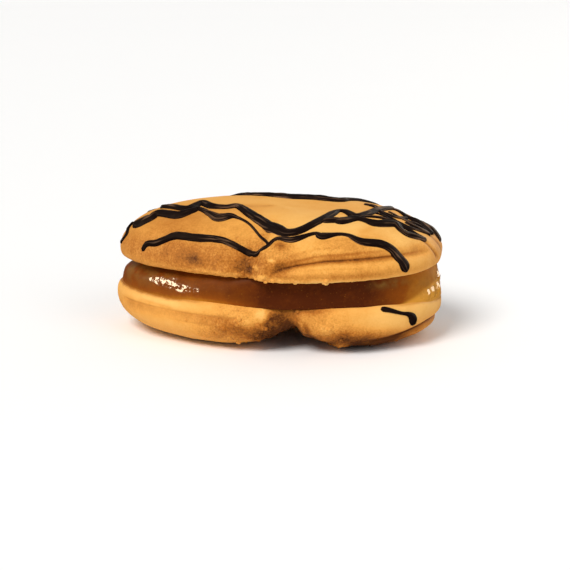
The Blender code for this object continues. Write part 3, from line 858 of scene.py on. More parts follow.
def draped(x, y, z):
    """Lets jam that reaches past the lower biscuit's flat side sink along its rounded rim."""
    angle = math.atan2(y, x - LOWER.centre_x)
    edge_x, edge_y = outline(LOWER, angle)
    reach = math.hypot(x - LOWER.centre_x, y) / math.hypot(edge_x, edge_y)
    past = min(max((reach - 1.0 + LOWER.undercut) / LOWER.undercut, 0.0), 1.0)
    above = z - LOWER.face_height
    rim = LOWER.face_height - LOWER.brow * (1.0 - math.sqrt(1.0 - past * past))
    sunk = min(max(rim - JAM_BITE, JAM_DRIP), z)
    low = 1.0 - smooth(above / JAM_HANG)
    tuck = JAM_TUCK * smooth(2.0 * past - 0.6) * (1.0 - smooth(above / MM + 0.2))
    x -= tuck * math.cos(angle)
    y -= tuck * math.sin(angle)
    return x, y, mix((z, sunk), low * smooth(2.0 * past))


def jam_mesh(bulge):
    """The jam, which reaches just into both flat sides, with what JAM_MARKS lists."""

    def place_at(level, angle):
        degrees = math.degrees(angle)
        climb = min(max((level - JAM_FLAT) / (1.0 - 2.0 * JAM_FLAT), 0.0), 1.0)
        reach = min(level, 1.0 - level, JAM_FLAT) / JAM_FLAT
        side = rightness(angle)
        lean = climb ** mix(JAM_ROUNDING, side)
        foot_x, foot_y = outline(JAM_FOOT, angle)
        head_x, head_y = outline(JAM_HEAD, angle)
        x = mix((JAM_FOOT.centre_x + foot_x * reach, JAM_HEAD.centre_x + head_x * reach), lean)
        y = mix((foot_y, head_y), lean) * reach
        swell = bulge * math.sin(math.pi * climb) * reach * (1.0 - side)
        swell += strength(JAM_LUMPS, degrees, climb * MM) * MM
        x += swell * math.cos(angle)
        y += swell * math.sin(angle)
        floor = face_height(LOWER, x) - JAM_BITE
        ceiling = face_height(UPPER, x) + JAM_BITE
        return draped(x, y, mix((floor, ceiling), climb)), jam_marks(x, degrees, climb)

    return shell("jam_layer", JAM_COLUMNS, JAM_RINGS, JAM_MARKS, False, place_at)


def jam_marks(x, degrees, climb):
    """Thinness with painted light, nearness to the foot, wetness (up to 2), film and olive tinge
    (up to 1).
    """
    near_foot = 1.0 - smooth(climb / JAM_FOOT_SHARE)
    left = smooth((JAM_LEFT.start - x) / JAM_LEFT.run)
    left *= JAM_LEFT.thin_and_lit + JAM_LEFT.thin_and_lit_foot * near_foot * near_foot
    right = JAM_RIGHT.thin_and_lit * smooth((x - JAM_RIGHT.start) / JAM_RIGHT.run)
    wet = strength(JAM_WET, degrees, climb * MM)
    edge = JAM_FILM.height
    edge *= smooth((degrees - JAM_FILM.rise[0]) / JAM_FILM.rise[1])
    edge *= 1.0 - smooth((degrees - JAM_FILM.fall[0]) / JAM_FILM.fall[1])
    film = smooth((edge - climb) / JAM_FILM.soft + 0.5) if edge > JAM_FILM.least else 0.0
    olive = strength(JAM_OLIVE, degrees, climb * MM)
    return max(left, right), near_foot, min(wet, 2.0), film, min(olive, 1.0)


class Writer:
    """Adds nodes to a tree. A socket given as a value is linked, and anything else is set."""

    def __init__(self, tree):
        self.tree = tree

    def node(self, kind, values=(), **settings):
        """One node, with its settings and the values of its inputs by name or place."""
        made = self.tree.nodes.new(kind)
        for name, value in settings.items():
            setattr(made, name, value)
        for key, value in dict(values).items():
            if isinstance(value, bpy.types.NodeSocket):
                self.tree.links.new(value, made.inputs[key])
            else:
                made.inputs[key].default_value = value
        return made

    def math(self, operation, first, second=0.0, clamp=False):
        """A sum, product or other result of two values."""
        values = {0: first, 1: second}
        return self.node("ShaderNodeMath", values, operation=operation, use_clamp=clamp).outputs[0]

    def total(self, first, *others):
        """Several values added."""
        for other in others:
            first = self.math("ADD", first, other)
        return first

    def product(self, first, *others):
        """Several values multiplied."""
        for other in others:
            first = self.math("MULTIPLY", first, other)
        return first

    def vector(self, operation, first, second=(0.0, 0.0, 0.0)):
        """What a vector and a second one, or a scale, come to. Some results are one number."""
        key = "Scale" if operation == "SCALE" else 1
        made = self.node("ShaderNodeVectorMath", {0: first, key: second}, operation=operation)
        return made.outputs["Value" if operation == "DOT_PRODUCT" else "Vector"]

    def place(self):
        """Where each point is, in the piece's own frame."""
        if self.tree.bl_idname == "GeometryNodeTree":
            return self.node("GeometryNodeInputPosition").outputs[0]
        return self.node("ShaderNodeTexCoord").outputs["Object"]

    def attribute(self, name):
        """A number that the mesh holds at each point."""
        if self.tree.bl_idname == "GeometryNodeTree":
            return self.node("GeometryNodeInputNamedAttribute", {0: name}).outputs[0]
        return self.node("ShaderNodeAttribute", attribute_name=name).outputs["Fac"]

    def noise(self, place, name):
        """A noise of the table, from 0 to 1 and mostly about a half."""
        scale, detail, roughness = NOISES[name]
        values = {"Vector": place, "Scale": scale, "Detail": detail, "Roughness": roughness}
        return self.node("ShaderNodeTexNoise", values).outputs[0]

    def uneven(self, place, name):
        """The same noise, as much above 0 as below it."""
        return self.math("SUBTRACT", self.noise(place, name), 0.5)

    def spread(self, value, span, ends=WHOLE):
        """A value's span, stretched evenly to these ends and held between them."""
        values = {0: value, 1: span[0], 2: span[1], 3: ends[0], 4: ends[1]}
        return self.node("ShaderNodeMapRange", values).outputs[0]

    def blend(self, share, first, second):
        """Two colours mixed by a share."""
        values = {0: share, 6: first, 7: second}
        return self.node("ShaderNodeMix", values, data_type="RGBA").outputs[2]

    def ramp(self, value, places, colours):
        """A colour from a value, with each colour at its place from 0 to 1."""
        made = self.node("ShaderNodeValToRGB", {0: value})
        elements = made.color_ramp.elements
        for index, (place, colour) in enumerate(zip(places, colours)):
            element = elements[index] if index < 2 else elements.new(place)
            element.position = place
            element.color = (*colour, 1.0)
        return made.outputs[0]

    def eased(self, value, times):
        """A vector on a curve, evened out along it this many times."""
        values = {"Value": value, "Iterations": times}
        return self.node("GeometryNodeBlurAttribute", values, data_type="FLOAT_VECTOR").outputs[0]

    def moved(self, geometry, offset):
        """A geometry with its points moved."""
        return self.node("GeometryNodeSetPosition", {0: geometry, "Offset": offset}).outputs[0]

    def pushed(self, geometry, push):
        """A surface with its points moved straight out of it."""
        outward = self.node("GeometryNodeInputNormal").outputs[0]
        return self.moved(geometry, self.vector("SCALE", outward, push))

    def kept(self, geometry, **values):
        """The sockets of a geometry that holds on to these values as it changes."""
        made = self.node("GeometryNodeCaptureAttribute", {0: geometry})
        for index, (label, value) in enumerate(values.items()):
            made.capture_items.new("FLOAT", label)
            self.tree.links.new(value, made.inputs[1 + index])
        return made.outputs


def shape_tree(name, inputs):
    """A modifier's tree with these inputs, a box and a material, and where its nodes start."""
    tree = bpy.data.node_groups.new(name, "GeometryNodeTree")
    tree.is_modifier = True
    tree.interface.new_socket("Geometry", in_out="OUTPUT", socket_type="NodeSocketGeometry")
    tree.interface.new_socket("Geometry", in_out="INPUT", socket_type="NodeSocketGeometry")
    inputs = {**inputs, "Low": "Vector", "High": "Vector", "Material": "Material"}
    for label, kind in inputs.items():
        tree.interface.new_socket(label, in_out="INPUT", socket_type="NodeSocket" + kind)
    writer = Writer(tree)
    return writer, writer.node("NodeGroupInput").outputs


def end_tree(writer, geometry, given):
    """Ends a tree in real, smooth mesh of its material, with no point outside its box."""
    held = writer.vector("MAXIMUM", writer.place(), given["Low"])
    held = writer.vector("MINIMUM", held, given["High"])
    boxed = writer.node("GeometryNodeSetPosition", {0: geometry, "Position": held}).outputs[0]
    real = writer.node("GeometryNodeRealizeInstances", {0: boxed}).outputs[0]
    smoothed = writer.node("GeometryNodeSetShadeSmooth", {0: real}).outputs[0]
    values = {0: smoothed, "Material": given["Material"]}
    painted = writer.node("GeometryNodeSetMaterial", values).outputs[0]
    writer.node("NodeGroupOutput", {0: painted})


def grown(name, start, writer, material, values):
    """Runs a tree on a mesh, and gives its result as a plain object at the origin.

    No point of it leaves the box of the CAD model.
    """
    low, high = CAD_BOX
    values = {**values, "Low": tuple(low), "High": tuple(high), "Material": material}
    guide = bpy.data.objects.new(name + "_guide", start)
    bpy.context.scene.collection.objects.link(guide)
    modifier = guide.modifiers.new(writer.tree.name, "NODES")
    modifier.node_group = writer.tree
    for item in writer.tree.interface.items_tree:
        if item.in_out == "INPUT" and item.name in values:
            modifier[item.identifier] = values[item.name]
    graph = bpy.context.evaluated_depsgraph_get()
    mesh = bpy.data.meshes.new_from_object(
        guide.evaluated_get(graph), preserve_all_data_layers=True, depsgraph=graph
    )
    bpy.data.objects.remove(guide, do_unlink=True)
    if not mesh.polygons:
        raise RuntimeError(name + " came out empty")
    mesh.name = name
    made = bpy.data.objects.new(name, mesh)
    bpy.context.scene.collection.objects.link(made)
    return made


def hand_over(piece, slot, *nodes):
    """Lets a piece ride on the body and hides the CAD nodes that it stands for. Its slot is not
    used.
    """
    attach(piece, "root")
    if nodes:
        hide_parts(*nodes)


def relief_tree():
    """Uneven dough, sandy grain and crumbs along the rims, pushed out along the surface."""
    inputs = {"Lumps": "Float", "Grain": "Float", "Crumbs": "Float"}
    writer, given = shape_tree("dough relief", inputs)
    place = writer.place()
    lumps = writer.product(writer.uneven(place, "dough lumps"), given["Lumps"])
    grain = writer.uneven(place, "dough grain")
    grain = writer.product(grain, writer.attribute("sandy"), given["Grain"])
    crumbs = writer.spread(writer.noise(place, "rim crumbs"), RIM_CRUMBS_SPAN)
    crumbs = writer.product(crumbs, writer.attribute("crumbly"), given["Crumbs"])
    push = writer.total(lumps, grain, crumbs)
    end_tree(writer, writer.pushed(given["Geometry"], push), given)
    return writer


def jam_tree():
    """Small crinkles and waves over the jam's skin."""
    writer, given = shape_tree("jam skin", {"Waves": "Float", "Crinkle": "Float"})
    place = writer.place()
    waves = writer.product(writer.uneven(place, "jam waves"), given["Waves"])
    wet = writer.spread(writer.attribute("wet"), WHOLE, CRINKLE_SHARE)
    crinkle = writer.product(writer.uneven(place, "jam crinkle"), wet, given["Crinkle"])
    end_tree(writer, writer.pushed(given["Geometry"], writer.total(waves, crinkle)), given)
    return writer


def fall_to_crust(writer, crust):
    """A guide's way down to the nearest crust, evened out, and the way straight out of it."""
    place = writer.place()
    nearest = []
    for kind in ("GeometryNodeInputPosition", "GeometryNodeInputNormal"):
        values = {0: crust, "Value": writer.node(kind).outputs[0], "Sample Position": place}
        found = writer.node("GeometryNodeSampleNearestSurface", values, data_type="FLOAT_VECTOR")
        nearest.append(found.outputs[0])
    fall = writer.vector("SUBTRACT", nearest[0], place)
    outward = writer.vector("NORMALIZE", writer.eased(nearest[1], STRAND_EASE))
    even_fall = writer.eased(fall, STRAND_EASE)
    buried = writer.vector("DOT_PRODUCT", writer.vector("SUBTRACT", fall, even_fall), outward)
    lift = writer.vector("SCALE", outward, writer.math("MAXIMUM", buried, 0.0))
    return writer.vector("ADD", even_fall, writer.eased(lift, STRAND_LIFT_EASE)), outward


def bead_size(writer, bead_height):
    """How far along its strand a point is, and the bead's radius and height above the crust."""
    width = writer.attribute("width")
    along = writer.node("GeometryNodeSplineParameter").outputs["Length"]
    whole = writer.node("GeometryNodeSplineLength").outputs["Length"]
    to_end = writer.math("MINIMUM", along, writer.math("SUBTRACT", whole, along))
    share = writer.math("DIVIDE", to_end, writer.math("MULTIPLY", width, ROUND_END))
    short = writer.math("SUBTRACT", 1.0, share, clamp=True)
    round_end = writer.math("SQRT", writer.math("SUBTRACT", 1.0, writer.product(short, short)))
    width = writer.product(width, writer.math("MAXIMUM", round_end, TIP_WIDTH))
    flat = writer.spread(width, SPREADING_WIDTHS, SPREADING_HEIGHTS)
    height = writer.product(width, flat, bead_height)
    squares = writer.total(writer.product(width, width, 0.25), writer.product(height, height))
    return along, writer.math("DIVIDE", squares, writer.product(height, 2.0)), height


def strand_tree():
    """Beads of chocolate along the guides, drawn onto the nearest surface and sunk in it."""
    inputs = {"Biscuit": "Object", "Step": "Float", "Bead Height": "Float", "Ridges": "Float"}
    writer, given = shape_tree("chocolate strands", inputs)
    crust = writer.node("GeometryNodeObjectInfo", {0: given["Biscuit"]}, transform_space="RELATIVE")
    line = writer.node("GeometryNodeMeshToCurve", {0: given["Geometry"]}).outputs[0]
    line = writer.node("GeometryNodeCurveSplineType", {0: line}, spline_type="CATMULL_ROM")
    values = {0: line.outputs[0], "Length": given["Step"]}
    line = writer.node("GeometryNodeResampleCurve", values, mode="LENGTH").outputs[0]
    fall, outward = fall_to_crust(writer, crust.outputs["Geometry"])
    along, radius, height = bead_size(writer, given["Bead Height"])
    sunk = writer.vector("SCALE", outward, writer.math("SUBTRACT", height, radius))
    line, along, radius = list(writer.kept(line, along=along, radius=radius))[:3]
    line = writer.moved(line, writer.vector("ADD", fall, sunk))
    circle = writer.node("GeometryNodeCurvePrimitiveCircle", {"Resolution": STRAND_SIDES, 4: 1.0})
    around = writer.node("GeometryNodeSplineParameter").outputs["Factor"]
    ring, around = list(writer.kept(circle.outputs[0], around=around))[:2]
    values = {0: line, 1: ring, "Scale": radius, "Fill Caps": True}
    tube = writer.node("GeometryNodeCurveToMesh", values).outputs[0]
    angle = writer.product(around, math.tau)
    values = {
        0: writer.product(along, STREAKS_ALONG),
        1: writer.product(writer.math("COSINE", angle), STREAKS_ROUND),
        2: writer.product(writer.math("SINE", angle), STREAKS_ROUND),
    }
    streaks = writer.node("ShaderNodeCombineXYZ", values).outputs[0]
    ridge = writer.uneven(streaks, "strand ridges")
    ridge = writer.product(ridge, radius, writer.attribute("ridged_and_highlit"), given["Ridges"])
    values = {0: writer.pushed(tube, ridge), "Name": "streaks", "Value": streaks}
    ridged = writer.node(
        "GeometryNodeStoreNamedAttribute", values, data_type="FLOAT_VECTOR", domain="POINT"
    )
    end_tree(writer, ridged.outputs[0], given)
    return writer


def crumb_tree():
    """Crumbs of dough stuck to the crumbly parts of a biscuit, each one different."""
    inputs = {"Density": "Float", "Smallest": "Float", "Largest": "Float", "Seed": "Int"}
    writer, given = shape_tree("loose crumbs", inputs)
    crowding = writer.math("POWER", writer.attribute("crumbly"), CRUMB_CROWDING)
    density = writer.math("MULTIPLY", crowding, given["Density"])
    values = {"Mesh": given["Geometry"], 4: density, "Seed": given["Seed"]}
    scatter = writer.node(
        "GeometryNodeDistributePointsOnFaces", values, distribute_method="RANDOM"
    )
    ball = writer.node("GeometryNodeMeshIcoSphere", {"Radius": 1.0, "Subdivisions": 2}).outputs[0]
    values = {2: 0.0, 3: 1.0, 8: CRUMB_SIZE_SEED}
    share = writer.node("FunctionNodeRandomValue", values, data_type="FLOAT").outputs[1]
    share = writer.math("POWER", share, SMALL_CRUMBS)
    size = writer.spread(share, WHOLE, (given["Smallest"], given["Largest"]))
    low = writer.math("MULTIPLY", size, CRUMB_FLATNESS)
    sizes = writer.node("ShaderNodeCombineXYZ", {0: size, 1: size, 2: low}).outputs[0]
    values = {0: scatter.outputs["Points"], 2: ball, 5: scatter.outputs["Rotation"], 6: sizes}
    crumbs = writer.node("GeometryNodeInstanceOnPoints", values).outputs[0]
    crumbs = writer.node("GeometryNodeRealizeInstances", {0: crumbs}).outputs[0]
    push = writer.math("MULTIPLY", writer.uneven(writer.place(), "crumb sides"), CRUMB_ROUGHNESS)
    end_tree(writer, writer.pushed(crumbs, push), given)
    return writer


def new_material(name):
    """An empty material, its node writer and its shader."""
    material = bpy.data.materials.new(name)
    material.use_nodes = True
    shader = material.node_tree.nodes["Principled BSDF"]
    return material, Writer(material.node_tree), shader


def set_shader(writer, shader, linked=(), **fixed):
    """Links sockets to the shader, and sets what is the same all over on its own sockets."""
    for name, value in dict(linked).items():
        writer.tree.links.new(value, shader.inputs[name])
    for name, value in fixed.items():
        shader.inputs[name.replace("_", " ")].default_value = value


def crust_material(look):
    """Baked shortbread: paler on top, browner and with painted shade in grooves and below, sandy,
    with fine pores.
    """
    material, writer, shader = new_material("baked shortbread")
    place = writer.place()
    sandy = writer.attribute("sandy")
    ragged = writer.product(writer.uneven(place, "smear edge"), CRUST.smear_edge)
    glaze = writer.spread(writer.total(writer.attribute("glaze"), ragged), CRUST.smear_span)
    mottle = writer.spread(sandy, CRUST.sandy_span, CRUST.mottle)
    grit = writer.spread(sandy, CRUST.sandy_span, CRUST.grit)
    tone = writer.total(
        writer.attribute("browning_and_shade"),
        writer.product(writer.uneven(place, "crust clouds"), CRUST.clouds),
        writer.product(writer.uneven(place, "crust mottle"), mottle),
        writer.product(writer.uneven(place, "crust grit"), grit),
    )
    colour = writer.ramp(tone, CRUST.tones, (look.pale, look.golden, look.brown, look.dark))
    pores = writer.spread(writer.noise(place, "crust pores"), CRUST.pores_span)
    pores = writer.product(pores, writer.spread(sandy, CRUST.pores_sandy_span, CRUST.pores))
    colour = writer.blend(pores, colour, (*look.dark, 1.0))
    across = writer.node("ShaderNodeSeparateXYZ", {0: place}).outputs[0]
    side = writer.spread(across, CRUST.smear_sides)
    smear = writer.blend(side, (*look.left_film, 1.0), (*look.right_film, 1.0))
    colour = writer.blend(glaze, colour, smear)
    roughness = writer.spread(glaze, WHOLE, (look.roughness, CRUST.smear_roughness))
    dry = writer.math("SUBTRACT", 1.0, glaze)
    firmness = writer.product(writer.spread(sandy, WHOLE, CRUST.bump), dry)
    relief = writer.total(writer.noise(place, "crust sand"), writer.noise(place, "crust pits"))
    values = {"Strength": firmness, "Distance": CRUST.bump_height, "Height": relief}
    bump = writer.node("ShaderNodeBump", values).outputs[0]
    linked = {"Base Color": colour, "Roughness": roughness, "Normal": bump}
    set_shader(writer, shader, linked, Specular_IOR_Level=CRUST.gloss)
    return material


def jam_material(look):
    """Cooked jam: dark where it is thick, with painted shade in its middle; amber where it is thin,
    with painted light; with a wet skin.
    """
    material, writer, shader = new_material("cooked jam")
    place = writer.place()
    thin_and_lit = writer.attribute("thin_and_lit")
    depth = writer.total(
        thin_and_lit,
        writer.product(writer.uneven(place, "jam clouds"), JAM.clouds),
        writer.product(writer.uneven(place, "jam pulp"), JAM.pulp),
        writer.product(writer.attribute("foot"), thin_and_lit, JAM.foot),
    )
    colour = writer.ramp(depth, JAM.tones, (look.thick_and_shaded, look.middle, look.thin_and_lit, look.film))
    colour = writer.blend(writer.attribute("film"), colour, (*look.film, 1.0))
    streak = writer.spread(writer.noise(place, "jam streaks"), JAM.olive_span)
    olive = writer.product(writer.attribute("olive"), streak)
    colour = writer.blend(olive, colour, (*look.olive, 1.0))
    flecks = writer.spread(writer.noise(place, "jam flecks"), JAM.flecks_span, JAM.flecks)
    colour = writer.blend(flecks, colour, (*look.thin_and_lit, 1.0))
    breaks = writer.spread(writer.noise(place, "jam breaks"), JAM.breaks_span)
    shine = writer.product(writer.attribute("wet"), writer.total(breaks, JAM.breaks_fill))
    shine = writer.spread(shine, JAM.wet_span)
    linked = {
        "Base Color": colour,
        "Roughness": writer.spread(shine, WHOLE, JAM.roughness),
        "Specular IOR Level": writer.spread(shine, WHOLE, JAM.gloss),
    }
    set_shader(writer, shader, linked, Specular_Tint=JAM.gloss_tint)
    return material


def chocolate_material(look):
    """Dark chocolate, set with a soft gloss and lengthwise painted highlights on its ridges."""
    material, writer, shader = new_material("dark chocolate")
    place = writer.place()
    streaks = writer.node("ShaderNodeAttribute", attribute_name="streaks").outputs["Vector"]
    stretched = writer.vector("MULTIPLY", streaks, CHOCOLATE.line_stretch)
    lines = writer.total(
        writer.product(writer.noise(streaks, "strand ridges"), CHOCOLATE.ridges),
        writer.product(writer.noise(stretched, "strand lines"), CHOCOLATE.lines),
    )
    clouds = writer.spread(writer.noise(place, "chocolate clouds"), CHOCOLATE.clouds_span)
    painted_highlight = writer.spread(lines, CHOCOLATE.painted_highlight_span)
    painted_highlight = writer.product(painted_highlight, clouds, writer.attribute("ridged_and_highlit"))
    colour = writer.blend(painted_highlight, (*look.deep, 1.0), (*look.light, 1.0))
    bloom = writer.noise(place, "chocolate bloom")
    roughness = writer.spread(bloom, CHOCOLATE.bloom_span, CHOCOLATE.roughness)
    values = {"Strength": CHOCOLATE.bump, "Distance": CHOCOLATE.bump_height, "Height": lines}
    bump = writer.node("ShaderNodeBump", values).outputs[0]
    linked = {"Base Color": colour, "Roughness": roughness, "Normal": bump}
    gloss = {"Specular_IOR_Level": CHOCOLATE.gloss, "Specular_Tint": CHOCOLATE.gloss_tint}
    set_shader(writer, shader, linked, **gloss)
    return material


def colour_setting(name, description, default):
    """A colour that can be picked."""
    return bpy.props.FloatVectorProperty(
        name=name, description=description, default=default, subtype="COLOR", min=0.0, max=1.0
    )


def length_setting(name, description, default):
    """A length that can be changed."""
    return bpy.props.FloatProperty(
        name=name, description=description, default=default, unit="LENGTH", min=0.0, precision=5
    )


def share_setting(name, description, default, low=0.0, high=1.0):
    """A share that can be changed."""
    return bpy.props.FloatProperty(
        name=name, description=description, default=default, subtype="FACTOR", min=low, max=high
    )


def amount_setting(name, description, default):
    """A plain amount that can be changed."""
    return bpy.props.FloatProperty(name=name, description=description, default=default, min=0.0)


class CookieCrust(bpy.types.PropertyGroup):
    """Relief and colours of both biscuits."""

    lumps: length_setting("Lumps", "Height of the slow unevenness of the dough", 0.42 * MM)
    grain: length_setting("Grain", "Height of the sandy grain on the sides", 0.22 * MM)
    crumbs: length_setting("Rim crumbs", "Height of the crumbs that stand on the rims", 0.50 * MM)
    pale: colour_setting("Pale", "Colour of the least baked dough", (0.89, 0.485, 0.130))
    golden: colour_setting("Golden", "Colour of most of the crust", (0.78, 0.350, 0.066))
    # In the grooves, creases, seam and underside the brown and dark colours are also painted shade.
    brown: colour_setting("Brown", "Colour of the sides and grooves", (0.45, 0.150, 0.018))
    dark: colour_setting("Dark", "Colour of the deepest grooves and pores", (0.105, 0.029, 0.004))
    left_film: colour_setting(
        "Left film", "Colour of the jam smeared on the left", (0.42, 0.15, 0.020)
    )
    right_film: colour_setting(
        "Right film", "Colour of the jam smeared on the right", (0.70, 0.31, 0.060)
    )
    roughness: share_setting("Roughness", "How matt the crust is", 0.66)


class CookieJam(bpy.types.PropertyGroup):
    """Form and colours of the jam."""

    bulge: length_setting("Bulge", "How far the jam swells out between the biscuits", 0.15 * MM)
    waves: length_setting("Waves", "Height of the slow waves of its skin", 0.50 * MM)
    crinkle: length_setting("Crinkle", "Height of the fine crinkles of its skin", 0.40 * MM)
    # The thick colour is partly painted shade in the jam's middle, and the thin one partly painted
    # light at its ends.
    thick_and_shaded: colour_setting("Thick", "Colour where the jam is thick", (0.076, 0.015, 0.003))
    middle: colour_setting("Middle", "Colour between thick and thin", (0.25, 0.060, 0.004))
    thin_and_lit: colour_setting("Thin", "Colour where the jam is thin", (0.42, 0.150, 0.012))
    film: colour_setting("Film", "Colour at the thinnest edges", (0.68, 0.30, 0.035))
    olive: colour_setting("Olive", "Colour of the cloudy film at its left end", (0.24, 0.12, 0.025))


class CookieChocolate(bpy.types.PropertyGroup):
    """Form and colours of the drizzle."""

    bead_height: share_setting(
        "Bead height", "How high a strand stands, as a share of its width", 0.42, 0.1, 0.5
    )
    ridges: share_setting(
        "Ridges", "Depth of the lengthwise ridges, as a share of the radius", 0.70
    )
    deep: colour_setting("Deep", "Colour of most of the chocolate", (0.0085, 0.0042, 0.0034))
    # The light colour is painted highlight along the ridges.
    light: colour_setting("Light", "Colour of its lighter streaks", (0.20, 0.110, 0.062))


class CookieCrumbs(bpy.types.PropertyGroup):
    """Loose crumbs on both biscuits."""

    density: amount_setting("Density", "Crumbs to the square metre where it is crumbliest", 1.2e6)
    smallest: length_setting("Smallest", "Radius of the smallest crumb", 0.16 * MM)
    largest: length_setting("Largest", "Radius of the largest crumb", 0.60 * MM)
    seed: bpy.props.IntProperty(name="Seed", description="Which scatter of crumbs", default=12)


class CookieStage(bpy.types.PropertyGroup):
    """Floor, lights and camera."""

    floor_colour: colour_setting("Floor", "Colour of the floor", (1.0, 1.0, 1.0))
    key_strength: amount_setting("Key light", "Strength of the soft light on the left", 2.30)
    surround: amount_setting("Surround", "Strength of the even light all round", 0.45)


# The floor's side, how matt it is and its gloss.
FLOOR = SimpleNamespace(side=8.0, roughness=0.9, gloss=0.1)

# The key light, even as far as the floor reaches: its turn round the cookie, lift and width.
KEY = SimpleNamespace(
    turn=-28.0, lift=46.0, roll=0.0, width=math.radians(26.0), colour=(1.0, 0.985, 0.96)
)

# The smaller lights: turn, lift, roll, how far off, width, height, power and colour. Those that
# don't soften the shade show only as gloss.
LAMPS = {
    "fill": SimpleNamespace(
        turn=50.0, lift=38.0, roll=0.0, reach=0.80, size=(0.50, 0.50), power=1.0,
        colour=(1.0, 1.0, 1.0), softens=True,
    ),
    "left_glint": SimpleNamespace(
        turn=-67.0, lift=15.5, roll=-30.0, reach=0.50, size=(0.40, 0.17), power=3.4,
        colour=(1.0, 0.93, 0.76), softens=False,
    ),
    "right_glint": SimpleNamespace(
        turn=136.0, lift=18.0, roll=0.0, reach=0.45, size=(0.50, 0.28), power=2.2,
        colour=(1.0, 0.95, 0.82), softens=False,
    ),
}

# The greys of the surround, from below the floor to overhead: from which heights of the view
# direction to which they run, their places and how bright they are.
SURROUND = SimpleNamespace(span=(-0.2, 0.6), places=(0.0, 0.35, 1.0), greys=(0.10, 0.45, 1.0))

# The camera: turn, lift and roll in degrees, what it aims at, how far off and how wide it sees.
CAMERA = SimpleNamespace(
    turn=4.5,
    lift=15.0,
    roll=0.8,
    aim=(0.9 * MM, 0.85 * MM, 9.35 * MM),
    distance=0.48,
    sensor=36.0,
    picture_width=570.0 / 5.0 * MM,
    nearest=0.01,
)


def toward(turn, lift):
    """The direction from the cookie to a place this far round from the front and this high."""
    turn, lift = math.radians(turn), math.radians(lift)
    level = math.cos(lift)
    return Vector((math.sin(turn) * level, -math.cos(turn) * level, math.sin(lift)))


def facing(direction, place, roll):
    """The matrix of a camera or light at a place, looking back along the direction."""
    right = Vector((0.0, 0.0, 1.0)).cross(direction).normalized()
    up = direction.cross(right)
    turned = right * math.cos(roll) + up * math.sin(roll)
    up = up * math.cos(roll) - right * math.sin(roll)
    matrix = Matrix((turned, up, direction)).transposed().to_4x4()
    matrix.translation = place
    return matrix


def stood_up(scene, name, data, view, reach):
    """Adds a light or the camera, this far off and looking back at what the camera aims at."""
    holder = bpy.data.objects.new(name, data)
    direction = toward(view.turn, view.lift)
    place = Vector(CAMERA.aim) + direction * reach
    holder.matrix_world = facing(direction, place, math.radians(view.roll))
    scene.collection.objects.link(holder)
    return holder


def add_floor(look):
    """The pale floor, which doesn't mirror in the glossy parts."""
    bpy.ops.mesh.primitive_plane_add(size=FLOOR.side)
    floor = bpy.context.object
    floor.name = "floor"
    material, writer, shader = new_material("pale floor")
    set_shader(writer, shader, Roughness=FLOOR.roughness, Specular_IOR_Level=FLOOR.gloss)
    shader.inputs["Base Color"].default_value = (*look.floor_colour, 1.0)
    floor.data.materials.append(material)
    floor.visible_glossy = False


def add_surround(scene, look):
    """The even light all round, brighter overhead."""
    world = bpy.data.worlds.new("even surround")
    world.use_nodes = True
    background = world.node_tree.nodes["Background"]
    background.inputs["Strength"].default_value = look.surround
    writer = Writer(world.node_tree)
    direction = writer.node("ShaderNodeTexCoord").outputs["Generated"]
    height = writer.node("ShaderNodeSeparateXYZ", {0: direction}).outputs[2]
    greys = [(grey, grey, grey) for grey in SURROUND.greys]
    sky = writer.ramp(writer.spread(height, SURROUND.span), SURROUND.places, greys)
    writer.tree.links.new(sky, background.inputs["Color"])
    scene.world = world


class COOKIE_OT_stage(bpy.types.Operator):
    """Lay the floor, light the cookie and set the camera"""

    bl_idname = "cookie.stage"
    bl_label = "Stage"

    def execute(self, context):
        scene = context.scene
        look = scene.cookie_stage
        add_floor(look)
        key = bpy.data.lights.new("key", "SUN")
        key.angle = KEY.width
        key.energy = look.key_strength
        key.color = KEY.colour
        stood_up(scene, "key", key, KEY, 0.0)
        for name, light in LAMPS.items():
            lamp = bpy.data.lights.new(name, "AREA")
            lamp.shape = "RECTANGLE"
            lamp.size, lamp.size_y = light.size
            lamp.energy = light.power
            lamp.color = light.colour
            stood_up(scene, name, lamp, light, light.reach).visible_diffuse = light.softens
        add_surround(scene, look)
        camera = bpy.data.cameras.new("camera")
        camera.sensor_width = CAMERA.sensor
        camera.lens = CAMERA.sensor * CAMERA.distance / CAMERA.picture_width
        camera.clip_start = CAMERA.nearest
        scene.camera = stood_up(scene, "camera", camera, CAMERA, CAMERA.distance)
        scene.view_settings.view_transform = "Standard"
        return {"FINISHED"}


def baked_dough(context):
    """The material of both crusts and their crumbs, made on first use."""
    made = bpy.data.materials.get("baked shortbread")
    return made or crust_material(context.scene.cookie_crust)


def made_before(name, added):
    """A piece that something is about to be added to."""
    piece = bpy.data.objects.get(name)
    if piece is None:
        raise RuntimeError("make " + name + " before its " + added)
    return piece


class CrustMaker:
    """What both biscuit operators share."""

    def dress(self, context, name, shape, bake, upwards):
        """Makes a crust in place of its CAD node."""
        look = context.scene.cookie_crust
        values = {"Lumps": look.lumps, "Grain": look.grain, "Crumbs": look.crumbs}
        start = biscuit_mesh(shape, bake, upwards)
        piece = grown(name, start, relief_tree(), baked_dough(context), values)
        hand_over(piece, "biscuit", shape.name)


class COOKIE_OT_top_crust(CrustMaker, bpy.types.Operator):
    """Make the upper biscuit's crust"""

    bl_idname = "cookie.top_crust"
    bl_label = "Top crust"

    def execute(self, context):
        self.dress(context, "top_crust", UPPER, UPPER_BAKE, True)
        return {"FINISHED"}


class COOKIE_OT_bottom_crust(CrustMaker, bpy.types.Operator):
    """Make the lower biscuit's crust"""

    bl_idname = "cookie.bottom_crust"
    bl_label = "Bottom crust"

    def execute(self, context):
        self.dress(context, "bottom_crust", LOWER, LOWER_BAKE, False)
        return {"FINISHED"}


